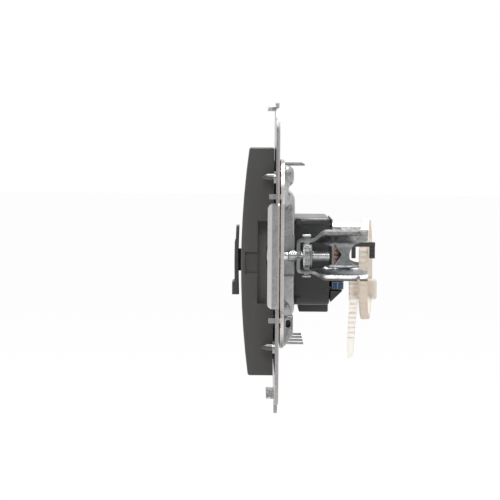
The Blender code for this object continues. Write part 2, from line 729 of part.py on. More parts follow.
def potentiometer():
    half_x, half_z = POT_HALF
    front, rear = POT_Y
    can = block(about(0, half_x), POT_Y, about(0, half_z))
    cuts = [block(about(0, half_x - POT_WALL), (front + POT_WALL, rear + CUT), about(0, half_z - POT_WALL)),
            block(about(0, SLOT_HALF), (front - CUT, front + POT_WALL + CUT), SLOT_Z)]
    piece("pot_can", "zinc_plated_steel", can, (), cuts)
    half, y0, y1, z0, z1 = CARRIAGE_BLOCK
    lever = block(about(0, CARRIAGE_LEVER_HALF), (STEM_REAR + GAP, y1 - 0.5), STEM_Z)
    piece("slider_carriage", "module_plastic", block(about(0, half), (y0, y1), (z0, z1)), [lever])
    half, y0, y1, z0, z1 = WIPER
    legs = block(about(0, 0.4), (y0 - CUT, y1 + CUT), (z0 - CUT, z1 - 1.2))
    piece("wiper_contact", "brass", block(about(0, half), (y0, y1), (z0, z1)), (), [legs])
    half, y0, y1, half_z = TRACK
    piece("pot_track", "track_carbon", block(about(0, half), (y0, y1), about(0, half_z)))
    for index, x in enumerate(POT_LEAD_X):
        lead = rod(POT_LEAD_RADIUS, y1 + GAP, BOARD[1] - GAP, (x, 0, POT_LEAD_Z), "Y", 10)
        piece("pot_lead_%d" % (index + 1), "brass", lead)


def carrier_plate():
    span = about(0, CARRIER_HALF)
    base = prism(rounded_box(*span, *span, WINDOW_CORNER), *CARRIER_Y, "Y")
    clips = []
    for side in (1, -1):
        for level in (1, -1):
            clip_z = sided(level, CARRIER_HALF - 1, CLIP_OUT)
            clips.append(block(sided(side, *CLIP_X), (CLIP_FRONT, CARRIER_Y[1] - 0.4), clip_z))
    skirt_in, skirt_out, skirt_front, skirt_half = SKIRT
    skirt_y = (skirt_front, CARRIER_Y[0] + 0.4)
    skirt_z = about(COVER_Z, skirt_half)
    skirts = [block(sided(side, skirt_in, skirt_out), skirt_y, skirt_z) for side in (1, -1)]
    through = (CARRIER_Y[0] - 0.1, CARRIER_Y[1] + CUT)
    cuts = [block(about(0, POT_HALF[0] + GAP), through, about(0, POT_HALF[1] + GAP))]
    for side in (1, -1):
        notch_x = sided(side, CARRIER_NOTCH_X, CARRIER_HALF + CUT)
        cuts.append(block(notch_x, through, about(CLAW_Z, CARRIER_NOTCH_HALF)))
    return piece("carrier_plate", "module_plastic", base, clips + skirts, cuts)


# Module: housing, rear cover and electronics

def base_housing():
    z0, z1 = HOUSING_Z
    y0, y1 = HOUSING_Y
    base = prism(rounded_box(-HOUSING_HALF, HOUSING_HALF, z0, z1, 0.9), y0, y1, "Y")
    soften(base, 0.6, 2, at_level(1, y1))
    wall = HOUSING_WALL
    inside_x = HOUSING_HALF - wall
    hollow = block(about(0, inside_x), (y0 - CUT, y1 + CUT), (z0 + wall, z1 - wall))
    foot = block(about(0, FOOT_HALF), FOOT_Y, (FOOT_Z, z0 + 0.5), 0.3)
    joins = [foot]
    for side in (1, -1):
        joins.append(block(sided(side, HOUSING_HALF - 0.5, HOUSING_HALF + LEDGE_OUT),
                           (HOOK_Y[1] + 0.4, y1 - 0.7), LEDGE_Z))
        for hook_z in HOOK_Z:
            joins.append(block(sided(side, HOUSING_HALF - 0.5, HOOK_OUT), HOOK_Y, hook_z))
    item = temporary(base)
    combine(item, joins, "UNION")
    combine(item, [hollow], "DIFFERENCE")
    inner = []
    for side in (1, -1):
        seat_x = sided(side, inside_x - 0.8, inside_x + 0.4)
        inner.append(block(seat_x, SEAT_Y, (z0 + wall + CUT, z1 - wall - CUT)))
        rib_end = (z1 if side > 0 else -z0) - wall / 2
        inner.append(block(about(0, RIB_HALF), (POST_FRONT + 0.1, y1 - 0.1), sided(side, POST_Z, rib_end)))
        inner.append(rod(POST_RADIUS, POST_FRONT, y1, (0, 0, side * POST_Z), "Y", 16))
    combine(item, inner, "UNION")
    pilots = [rod(HOUSING_SCREW[1] + 0.25, POST_FRONT - CUT, y1 + CUT, (0, 0, side * POST_Z), "Y", 12)
              for side in (1, -1)]
    combine(item, pilots, "DIFFERENCE")
    return settle(item, "base_housing", "module_plastic", (0, 0, 0))


def rear_profile(inset, front, rear):
    """Section of the rear cover: its top and bottom slope in towards its rear face."""
    low, high = REAR_Z_FRONT
    rear_low, rear_high = REAR_Z_REAR
    return [(front, low + inset), (rear, rear_low + inset * 0.6), (rear, rear_high - inset * 0.6),
            (front, high - inset)]


def tie_hook():
    """Arch behind the rear cover: a bar with two prongs that the cable tie runs between."""
    prong_in, bar_in, out = ANCHOR_X
    low, bar_low, high = ANCHOR_Z
    shapes = [block((bar_in, out), (REAR_Y[1] - 0.5, ANCHOR_PRONGS[1][1]), (bar_low, high))]
    for y in ANCHOR_PRONGS:
        shapes.append(block((prong_in, out - 0.03), (y[0], y[1] - 0.03), (low, high - 0.03)))
    return shapes


def hook_grooves():
    """Grooves across the outer face of the hook's rear prong."""
    y = ANCHOR_PRONGS[1]
    return [block((ANCHOR_X[2] - 0.35, ANCHOR_X[2] + CUT), (y[0] - CUT, y[1] + CUT), about(level, 0.2))
            for level in ANCHOR_GROOVES]


def spigots():
    """Lips of the rear cover that reach into the housing above and below."""
    inner, outer, front, thick = SPIGOT
    ceiling = HOUSING_Z[1] - HOUSING_WALL - GAP
    floor = HOUSING_Z[0] + HOUSING_WALL + GAP
    return [block(sided(side, inner, outer), (front, REAR_Y[0] + REAR_LIP[0]), lip_z) for side in (1, -1)
            for lip_z in ((ceiling - thick, ceiling), (floor, floor + thick))]


def rear_cover():
    front, rear = REAR_Y
    base = prism(rear_profile(0, front, rear), -REAR_HALF, REAR_HALF, "X")
    hollow = prism(rear_profile(REAR_WALL + 0.2, front - CUT, rear - REAR_WALL),
                   -REAR_HALF + REAR_WALL, REAR_HALF - REAR_WALL, "X")
    item = temporary(base)
    combine(item, [hollow], "DIFFERENCE")
    posts = [rod(POST_RADIUS + 0.4, front, rear - 0.3, (0, 0, side * POST_Z), "Y", 16) for side in (1, -1)]
    lip_deep, *lip_z = REAR_LIP
    lip = block(about(0, REAR_HALF - STEP), (front + STEP, front + lip_deep), lip_z)
    combine(item, posts + tie_hook() + spigots() + [lip], "UNION")
    head, shank, _, head_front, _ = HOUSING_SCREW
    notch_deep, notch_front, notch_rear, *notch_z = SIDE_NOTCH
    cuts = hook_grooves()
    x, z, radius = WIRE_HOLE
    x0, _, _, _, z0, z1 = BUTTON
    for side in (1, -1):
        screw = (0, 0, side * POST_Z)
        cuts.append(rod(shank + 0.3, front - CUT, rear + CUT, screw, "Y", 12))
        cuts.append(rod(head + 0.3, head_front - GAP, rear + CUT, screw, "Y", 16))
        cuts.append(rod(radius, front - CUT, rear + CUT, (side * x, 0, z), "Y", 14))
        button_x = sided(side, x0 - GAP, REAR_HALF + CUT)
        cuts.append(block(button_x, (front - CUT, rear + CUT), (z0 - GAP, z1 + GAP)))
        notch_x = sided(side, REAR_HALF - notch_deep, REAR_HALF + CUT)
        cuts.append(block(notch_x, (notch_front, notch_rear), notch_z))
    combine(item, cuts, "DIFFERENCE")
    return settle(item, "rear_cover", "module_plastic", (0, 0, 0))


def housing_screws():
    head, shank, head_rear, head_front, tip = HOUSING_SCREW
    for index, side in enumerate((1, -1)):
        middle = (0, 0, side * POST_Z)
        profile = [(head, head_rear), (head, head_front), (shank, head_front), (shank, tip + shank),
                   (shank * 0.4, tip)]
        long, narrow, deep = HOUSING_SCREW_CROSS
        depth = (head_rear - deep, head_rear + CUT)
        cross = [block(about(0, long), depth, about(middle[2], narrow)),
                 block(about(0, narrow), depth, about(middle[2], long))]
        base = turned(profile, middle, "Y", 14)
        piece("housing_screw_%d" % (index + 1), "zinc_plated_steel", base, (), cross)


def release_button(side, word):
    x0, x1, y0, y1, z0, z1 = BUTTON
    base = block(sided(side, x0, x1), (y0, y1), (z0, z1), 0.15)
    groove = block(sided(side, x0 + 1.2, x1 - 1.2), (y1 - 0.35, y1 + CUT), about((z0 + z1) / 2, 0.3))
    origin = (side * (x0 + x1) / 2, y0, (z0 + z1) / 2)
    return piece("release_button_" + word, "release_blue", base, (), [groove], origin)


def terminal_clamp(side, word):
    x0, x1, y0, y1, z0, z1 = CLAMP
    base = block(sided(side, x0, x1), (y0, y1), (z0, z1))
    entry = block(sided(side, x0 + CLAMP_WALL, x1 - CLAMP_WALL), (y0 - CUT, y1 + CUT),
                  (z0 + CLAMP_WALL, z1 - CLAMP_WALL))
    return piece("terminal_clamp_" + word, "brass", base, (), [entry])


def board_parts():
    half, y0, y1, z0, z1 = BOARD
    piece("circuit_board", "board", block(about(0, half), (y0, y1), (z0, z1)))
    seat = y1 + GAP
    radius, hole_x, hole_z = TRIAC_HOLE
    x0, x1, deep, z0, z1 = TRIAC
    clip_front = seat + deep + GAP
    tab_hole = rod(radius, seat - CUT, clip_front, (hole_x, 0, hole_z), "Y", 12)
    piece("triac", "module_plastic", block((x0, x1), (seat, seat + deep), (z0, z1), 0.2), (), [tab_hole])
    x0, x1, thick, z0, z1 = HEAT_CLIP
    plate = block((x0, x1), (clip_front, clip_front + thick), (z0, z1))
    leg = block((x0, x1), (seat, clip_front + thick / 2), (z1 - thick, z1 - STEP))
    clip_hole = rod(radius, clip_front - CUT, clip_front + thick + CUT, (hole_x, 0, hole_z), "Y", 12)
    piece("heat_clip", "aluminium", plate, [leg], [clip_hole])
    x0, x1, deep, z0, z1 = CAPACITOR
    piece("capacitor", "film_capacitor", block((x0, x1), (seat, seat + deep), (z0, z1), 0.4))


def choke():
    """Rod core along Z with its winding as one helix whose ends turn towards the board."""
    x, y = CHOKE_AT
    profile = [(CHOKE_CORE_RADIUS - 0.2, CHOKE_Z[0]), (CHOKE_CORE_RADIUS, CHOKE_Z[0] + 0.2),
               (CHOKE_CORE_RADIUS, CHOKE_Z[1] - 0.2), (CHOKE_CORE_RADIUS - 0.2, CHOKE_Z[1])]
    piece("choke_core", "ferrite", turned(profile, (x, y, 0), "Z", 14))
    steps = WINDING_TURNS * POINTS_PER_TURN
    board_end = BOARD[2] + GAP
    turns = []
    for step in range(steps + 1):
        angle = math.tau * step / POINTS_PER_TURN
        turns.append(Vector((x + WINDING_RADIUS * math.cos(angle), y - WINDING_RADIUS * math.sin(angle),
                             WINDING_START_Z + WINDING_PITCH * step / POINTS_PER_TURN)))
    first, last = turns[0], turns[-1]
    lead_places = (board_end, (board_end + y) / 2, y - LEAD_BEND)
    lead_in = [Vector((first.x, place, first.z)) for place in lead_places]
    lead_out = Vector((last.x, y + LEAD_BEND, last.z))
    route = lead_in + turns + [lead_out]
    curve = bpy.data.curves.new("choke_winding", "CURVE")
    curve.dimensions = "3D"
    curve.bevel_depth = WIRE / 2
    curve.bevel_resolution = 1
    curve.use_fill_caps = True
    spline = curve.splines.new("POLY")
    spline.points.add(len(route) - 1)
    for point, place in zip(spline.points, route):
        point.co = (*place, 1.0)
    guide = bpy.data.objects.new("guide", curve)
    bpy.context.scene.collection.objects.link(guide)
    bpy.context.view_layer.update()
    graph = bpy.context.evaluated_depsgraph_get()
    mesh = bpy.data.meshes.new_from_object(guide.evaluated_get(graph))
    bpy.data.objects.remove(guide, do_unlink=True)
    item = bpy.data.objects.new("choke_winding", mesh)
    bpy.context.scene.collection.objects.link(item)
    least = min((one - other).length for index, one in enumerate(turns)
                for other in turns[index + POINTS_PER_TURN // 2:])
    print("choke winding: least gap to itself %.2f mm" % (least - WIRE))
    return settle(item, "choke_winding", "copper", (0, 0, 0))


def fuse():
    y, z = FUSE_AT
    x0, x1 = FUSE_X
    piece("fuse_tube", "glass", rod(FUSE_RADIUS, x0, x1, (0, y, z), "X", 14))
    ends = ((x0 - GAP - FUSE_CAP_LENGTH, x0 - GAP), (x1 + GAP, x1 + GAP + FUSE_CAP_LENGTH))
    for index, (low, high) in enumerate(ends):
        cap = rod(FUSE_RADIUS + 0.2, low, high, (0, y, z), "X", 14)
        piece("fuse_cap_%d" % (index + 1), "zinc_plated_steel", cap)


# Cable tie

def tail_route():
    """Points along the hanging tail, two to each tooth, from a smooth curve through its route."""
    knots = [Vector(place) for place in TIE_TAIL_ROUTE]
    fine = []
    for index in range(len(knots) - 1):
        before = knots[max(index - 1, 0)]
        after = knots[min(index + 2, len(knots) - 1)]
        start, end = knots[index], knots[index + 1]
        for step in range(TIE_TAIL_STEPS):
            t = step / TIE_TAIL_STEPS
            pull = (end - before) / 2
            push = (after - start) / 2
            fine.append(start * (2 * t ** 3 - 3 * t ** 2 + 1) + pull * (t ** 3 - 2 * t ** 2 + t)
                        + end * (3 * t ** 2 - 2 * t ** 3) + push * (t ** 3 - t ** 2))
    fine.append(knots[-1])
    route = [fine[0]]
    for place in fine[1:]:
        if (place - route[-1]).length >= TIE_TOOTH / 2:
            route.append(place)
    return route


def cable_tie():
    half_x, half_z = TIE_HALF
    angles = [math.tau * step / TIE_SEGMENTS for step in range(TIE_SEGMENTS)]
    ring = [(half_x * math.cos(angle), TIE_Y - TIE_LEAN * half_x * math.cos(angle),
             TIE_Z + half_z * math.sin(angle)) for angle in angles]
    flat = (TIE_THICK / 2, TIE_THICK / 2)
    loop = band(ring, [TIE_WIDTH] * len(ring), [flat] * len(ring), True)
    route = tail_route()
    tip = route[-1].z
    narrow, wide = TIE_TAIL_WIDTH
    widths = []
    depths = []
    for index, place in enumerate(route):
        share = (place.z - tip) / (route[0].z - tip)
        widths.append(narrow + (wide - narrow) * share)
        toothed = index % 2 and place.z - tip > TIE_PLAIN_TIP
        depths.append((TIE_THICK / 2, TIE_THICK / 2 - TIE_TOOTH_DEPTH * bool(toothed)))
    tail = band(route, widths, depths, False)
    x0, x1, y0, y1, z0, z1 = TIE_HEAD
    head = block((x0, x1), (y0, y1), (z0, z1), 0.7)
    return piece("cable_tie", "nylon", head, [loop, tail])


def build():
    for item in list(bpy.data.objects):
        bpy.data.objects.remove(item, do_unlink=True)
    support_ring()
    claw_chassis()
    for side, word in ((1, "right"), (-1, "left")):
        claw(side, word)
        claw_nut(side, word)
        claw_screw(side, word)
    centre_cover()
    slider_knob()
    potentiometer()
    carrier_plate()
    base_housing()
    rear_cover()
    housing_screws()
    for side, word in ((1, "line"), (-1, "load")):
        release_button(side, word)
        terminal_clamp(side, word)
    board_parts()
    choke()
    fuse()
    cable_tie()


build()
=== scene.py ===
"""Looks of the flush slide dimmer insert: finishes, finer pieces, floor, light and camera."""
import json
import math

import bmesh
import bpy
from mathutils import Matrix, Vector


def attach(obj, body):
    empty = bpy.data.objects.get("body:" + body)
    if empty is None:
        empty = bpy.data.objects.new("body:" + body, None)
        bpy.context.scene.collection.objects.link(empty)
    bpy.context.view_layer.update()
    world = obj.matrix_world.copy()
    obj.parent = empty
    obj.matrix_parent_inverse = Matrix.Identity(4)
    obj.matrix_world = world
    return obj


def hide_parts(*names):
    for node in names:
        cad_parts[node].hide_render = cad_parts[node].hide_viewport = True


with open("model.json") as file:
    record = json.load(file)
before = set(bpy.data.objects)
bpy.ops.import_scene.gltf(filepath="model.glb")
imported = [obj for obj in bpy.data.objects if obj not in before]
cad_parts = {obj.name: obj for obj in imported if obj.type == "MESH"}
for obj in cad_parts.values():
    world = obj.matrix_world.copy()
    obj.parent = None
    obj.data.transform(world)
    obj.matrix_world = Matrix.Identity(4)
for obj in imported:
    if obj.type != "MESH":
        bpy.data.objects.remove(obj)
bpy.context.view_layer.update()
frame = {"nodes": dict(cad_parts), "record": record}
NODES = frame["nodes"]
MM = 0.001


# Camera: nearly level, with the ring seen edge-on from the right, in metres

CAMERA_LOOK = Vector((0, -0.0064, 0.00145))
CAMERA_AWAY = 0.780
CAMERA_RISE = math.radians(2.0)
CAMERA_LEAN = math.radians(0.45)
CAMERA_VIEW = math.radians(8.34)
SENSOR_WIDTH = 36


def place_camera():
    data = bpy.data.cameras.new("camera")
    data.sensor_width = SENSOR_WIDTH
    data.lens = SENSOR_WIDTH / (2 * math.tan(CAMERA_VIEW / 2))
    data.clip_start = 0.01
    camera = bpy.data.objects.new("camera", data)
    bpy.context.scene.collection.objects.link(camera)
    away = Vector((CAMERA_AWAY * math.cos(CAMERA_RISE), 0, CAMERA_AWAY * math.sin(CAMERA_RISE)))
    place = CAMERA_LOOK + away
    aim = (CAMERA_LOOK - place).to_track_quat("-Z", "Y").to_matrix().to_4x4()
    camera.matrix_world = Matrix.Translation(place) @ aim @ Matrix.Rotation(CAMERA_LEAN, 4, "Z")
    bpy.context.scene.camera = camera


# Node helpers

NOISE_SPAN = (0.30, 0.70)
EDGE_FADE = 0.0001


def rgba(red, green, blue):
    return (red, green, blue, 1.0)


WHITE = rgba(1.0, 1.0, 1.0)


class Graph:
    """Adds and joins nodes in one tree."""

    def __init__(self, tree):
        self.tree = tree

    def add(self, kind, **settings):
        node = self.tree.nodes.new(kind)
        for name, value in settings.items():
            setattr(node, name, value)
        return node

    def put(self, value, socket):
        """Links an output to a socket, or sets a constant on it."""
        if hasattr(value, "is_output"):
            self.tree.links.new(value, socket)
        else:
            socket.default_value = value

    def noise(self, where, scale, detail=3.0, rough=0.5, stretch=None):
        if stretch:
            mapping = self.add("ShaderNodeMapping")
            mapping.inputs["Scale"].default_value = stretch
            self.put(where, mapping.inputs["Vector"])
            where = mapping.outputs["Vector"]
        node = self.add("ShaderNodeTexNoise")
        self.put(where, node.inputs["Vector"])
        self.put(scale, node.inputs["Scale"])
        node.inputs["Detail"].default_value = detail
        node.inputs["Roughness"].default_value = rough
        return node.outputs["Fac"]

    def fit(self, value, low, high, to_low=0.0, to_high=1.0, kind="LINEAR"):
        """Carries the span from low to high over to another span, and holds it there."""
        node = self.add("ShaderNodeMapRange", interpolation_type=kind)
        self.put(value, node.inputs["Value"])
        self.put(low, node.inputs["From Min"])
        self.put(high, node.inputs["From Max"])
        self.put(to_low, node.inputs["To Min"])
        self.put(to_high, node.inputs["To Max"])
        return node.outputs["Result"]

    def ease(self, value, low, high):
        """Smooth mask from 0 at low to 1 at high."""
        return self.fit(value, low, high, kind="SMOOTHSTEP")

    def calc(self, operation, *values):
        """Result of one math operation on outputs or constants."""
        node = self.add("ShaderNodeMath", operation=operation)
        for value, socket in zip(values, node.inputs):
            self.put(value, socket)
        return node.outputs["Value"]

    def band(self, value, low, high):
        """Mask that is 1 from low to high and fades out just past them."""
        rising = self.fit(value, low - EDGE_FADE, low)
        falling = self.fit(value, high + EDGE_FADE, high)
        return self.calc("MULTIPLY", rising, falling)

    def split(self, vector):
        node = self.add("ShaderNodeSeparateXYZ")
        self.put(vector, node.inputs["Vector"])
        return node.outputs

    def blend(self, share, first, second):
        node = self.add("ShaderNodeMix", data_type="RGBA")
        self.put(share, node.inputs["Factor"])
        self.put(first, node.inputs["A"])
        self.put(second, node.inputs["B"])
        return node.outputs["Result"]

    def bump(self, height, strength, distance):
        node = self.add("ShaderNodeBump")
        node.inputs["Strength"].default_value = strength
        node.inputs["Distance"].default_value = distance
        self.put(height, node.inputs["Height"])
        return node.outputs["Normal"]

    def use(self, group, **values):
        """Outputs of a shared effect with these inputs."""
        node = self.add("ShaderNodeGroup")
        node.node_tree = group
        for name, value in values.items():
            self.put(value, node.inputs[name.title()])
        return node.outputs


# Shared effects

GRAIN_DEPTH = 0.00002
SPANGLE_DEPTH = 0.00003
SPANGLE_WARP = (0.0006, 0.0006, 0.0006)
DRAWING_STRETCH = (0.25, 1.0, 3.0)


def shared_effect(name, inputs, outputs):
    """Empty node group with float inputs and outputs; its Place input takes the surface's own place."""
    tree = bpy.data.node_groups.new(name, "ShaderNodeTree")
    tree.interface.new_socket("Place", in_out="INPUT", socket_type="NodeSocketVector")
    for label, value in inputs:
        socket = tree.interface.new_socket(label, in_out="INPUT", socket_type="NodeSocketFloat")
        socket.default_value = value
    for label in outputs:
        tree.interface.new_socket(label, in_out="OUTPUT", socket_type="NodeSocketFloat")
    graph = Graph(tree)
    return tree, graph, graph.add("NodeGroupInput").outputs, graph.add("NodeGroupOutput").inputs


def moulded_grain():
    """Fine spark-eroded grain of moulded plastic, with slow patches where it was handled."""
    tree, graph, given, made = shared_effect(
        "moulded grain", [("Grain", 4200.0), ("Patch", 160.0)], ["Height", "Tone", "Shine"])
    grain = graph.noise(given["Place"], given["Grain"], 2.0, 0.6)
    patch = graph.noise(given["Place"], given["Patch"], 4.0, 0.55)
    graph.put(grain, made["Height"])
    speck = graph.fit(grain, *NOISE_SPAN)
    slow = graph.fit(patch, *NOISE_SPAN)
    graph.put(graph.calc("MULTIPLY_ADD", speck, 0.6, graph.calc("MULTIPLY", slow, 0.4)), made["Tone"])
    graph.put(slow, made["Shine"])
    return tree


def zinc_spangle():
    """Crystal patches of a zinc coat with drawing marks and small dull spots."""
    tree, graph, given, made = shared_effect(
        "zinc spangle", [("Crystal", 900.0), ("Marks", 1.0)], ["Tone", "Dull", "Height"])
    warped = graph.add("ShaderNodeVectorMath", operation="MULTIPLY_ADD")
    graph.put(graph.noise(given["Place"], 700.0), warped.inputs[0])
    warped.inputs[1].default_value = SPANGLE_WARP
    graph.put(given["Place"], warped.inputs[2])
    cells = graph.add("ShaderNodeTexVoronoi", feature="F1")
    graph.put(warped.outputs["Vector"], cells.inputs["Vector"])
    graph.put(given["Crystal"], cells.inputs["Scale"])
    crystal = graph.add("ShaderNodeSeparateColor")
    graph.put(cells.outputs["Color"], crystal.inputs["Color"])
    cloud = graph.noise(given["Place"], 420.0, 5.0, 0.6)
    marks = graph.noise(given["Place"], 900.0, 2.0, 0.5, DRAWING_STRETCH)
    tone = graph.calc("MULTIPLY_ADD", crystal.outputs["Red"], 0.45, graph.calc("MULTIPLY", cloud, 0.75))
    graph.put(graph.fit(tone, 0.20, 0.95), made["Tone"])
    graph.put(graph.fit(cloud, 0.40, 0.68), made["Dull"])
    rough = graph.calc("MULTIPLY", marks, given["Marks"])
    graph.put(graph.calc("MULTIPLY_ADD", crystal.outputs["Green"], 0.4, rough), made["Height"])
    return tree


GRAIN = moulded_grain()
SPANGLE = zinc_spangle()


# Finishes

def finish(name):
    """New material with its graph, its shader's sockets and each surface point's place on its own piece."""
    made = bpy.data.materials.new(name)
    made.use_nodes = True
    graph = Graph(made.node_tree)
    shader = made.node_tree.nodes["Principled BSDF"]
    place = graph.add("ShaderNodeTexCoord").outputs["Object"]
    return made, graph, shader.inputs, place


def plastic(name, dark, light, rough, grain=4200.0, patch=160.0, strength=0.25):
    made, graph, sockets, place = finish(name)
    marks = graph.use(GRAIN, place=place, grain=grain, patch=patch)
    graph.put(graph.blend(marks["Tone"], rgba(*dark), rgba(*light)), sockets["Base Color"])
    graph.put(graph.fit(marks["Shine"], 0.0, 1.0, *rough), sockets["Roughness"])
    graph.put(graph.bump(marks["Height"], strength, GRAIN_DEPTH), sockets["Normal"])
    return made


def coated_metal(name, dark, light, rough, crystal, marks=1.0, strength=0.2, metal=1.0):
    made, graph, sockets, place = finish(name)
    coat = graph.use(SPANGLE, place=place, crystal=crystal, marks=marks)
    graph.put(graph.blend(coat["Tone"], rgba(*dark), rgba(*light)), sockets["Base Color"])
    graph.put(graph.fit(coat["Dull"], 0.0, 1.0, *rough), sockets["Roughness"])
    graph.put(graph.bump(coat["Height"], strength, SPANGLE_DEPTH), sockets["Normal"])
    sockets["Metallic"].default_value = metal
    return made


def fuse_glass():
    made, graph, sockets, place = finish("fuse glass")
    tone = graph.blend(graph.noise(place, 900.0), rgba(0.80, 0.86, 0.86), rgba(0.90, 0.94, 0.94))
    graph.put(tone, sockets["Base Color"])
    graph.put(graph.fit(graph.noise(place, 2500.0), *NOISE_SPAN, 0.03, 0.10), sockets["Roughness"])
    sockets["Transmission Weight"].default_value = 0.9
    return made


def natural_nylon(name, dark, light, clear, bend=1.5):
    made = plastic(name, dark, light, rough=(0.34, 0.50), grain=1500.0, patch=120.0, strength=0.15)
    sockets = made.node_tree.nodes["Principled BSDF"].inputs
    sockets["Subsurface Weight"].default_value = 0.5
    sockets["Subsurface Radius"].default_value = (0.0016, 0.0011, 0.0007)
    sockets["Subsurface Scale"].default_value = 1.0
    sockets["Transmission Weight"].default_value = clear
    sockets["IOR"].default_value = bend
    return made


def enamelled_copper():
    made, graph, sockets, place = finish("enamelled copper")
    coat = graph.use(SPANGLE, place=place, crystal=1800.0, marks=1.0)
    tone = graph.blend(coat["Tone"], rgba(0.80, 0.47, 0.39), rgba(0.94, 0.68, 0.60))
    graph.put(tone, sockets["Base Color"])
    graph.put(graph.fit(coat["Dull"], 0.0, 1.0, 0.24, 0.40), sockets["Roughness"])
    sockets["Metallic"].default_value = 0.2
    sockets["Coat Weight"].default_value = 0.4
    return made


# Galvanised sheet with torn edges, a painted highlight on its sides and painted shade on the ring's pins,
# with depths in metres

RING_TORN_FROM = -0.00035
# The ring's painted highlight on side faces lies between these depths
RING_HIGHLIGHT_DEPTHS = (-0.0030, -0.0017)
# The chassis has no torn edges, so this lies behind all of it
CHASSIS_TORN_FROM = 0.02
# The chassis's painted highlight on side faces lies between these depths
CHASSIS_HIGHLIGHT_DEPTHS = (0.0003, 0.0011)
PIN_ACROSS = (0.0256, 0.0283)
PIN_ROOT = -0.0013
RAGGED = 0.0002
# A face is an edge where its normal has little Y, and a side where it has much X
EDGE_FACING = (0.3, 0.5)
SIDE_FACING = (0.7, 0.9)
TORN_TONE = rgba(0.50, 0.45, 0.43)
TORN_ROUGH = 0.62
# Lighter tone on sides between two depths: a painted highlight where drawn edges catch the light
HIGHLIGHT_TONE = rgba(0.80, 0.78, 0.75)
# Dark tone of the ring's pins: a dark finish that is also painted shade, standing for the shade the lower
# pins sit in
PIN_SHADE_TONE = rgba(0.13, 0.126, 0.12)


def sheared_steel(name, torn_from, highlight_depths):
    """Sheet with edges torn behind a depth, a painted highlight on sides between two depths, and the ring's
    pins darkened, partly as painted shade.
    """
    made, graph, sockets, place = finish(name)
    coat = graph.use(SPANGLE, place=place, crystal=1500.0, marks=1.0)
    base = graph.blend(coat["Tone"], rgba(0.33, 0.33, 0.33), rgba(0.47, 0.475, 0.475))
    where = graph.split(place)
    facing = graph.split(graph.add("ShaderNodeTexCoord").outputs["Normal"])
    depth = where["Y"]
    ragged = graph.calc("MULTIPLY_ADD", graph.noise(place, 2500.0), RAGGED, depth)
    torn = graph.fit(ragged, torn_from, torn_from + EDGE_FADE)
    edge = graph.fit(graph.calc("ABSOLUTE", facing["Y"]), *EDGE_FACING, 1.0, 0.0)
    sheared = graph.calc("MULTIPLY", torn, edge)
    # Painted highlight: side faces between two depths take a lighter tone
    sideways = graph.fit(graph.calc("ABSOLUTE", facing["X"]), *SIDE_FACING)
    highlit = graph.calc("MULTIPLY", graph.band(depth, *highlight_depths), sideways)
    # Painted shade, partly: pins in front of the ring take a dark tone
    in_front = graph.fit(depth, PIN_ROOT, PIN_ROOT - EDGE_FADE)
    shaded_pins = graph.calc("MULTIPLY", graph.band(graph.calc("ABSOLUTE", where["X"]), *PIN_ACROSS), in_front)
    tone = graph.blend(sheared, base, TORN_TONE)
    tone = graph.blend(highlit, tone, HIGHLIGHT_TONE)
    graph.put(graph.blend(shaded_pins, tone, PIN_SHADE_TONE), sockets["Base Color"])
    smooth = graph.fit(coat["Dull"], 0.0, 1.0, 0.26, 0.40)
    graph.put(graph.fit(sheared, 0.0, 1.0, smooth, TORN_ROUGH), sockets["Roughness"])
    graph.put(graph.bump(coat["Height"], 0.12, SPANGLE_DEPTH), sockets["Normal"])
    sockets["Metallic"].default_value = 1.0
    return made


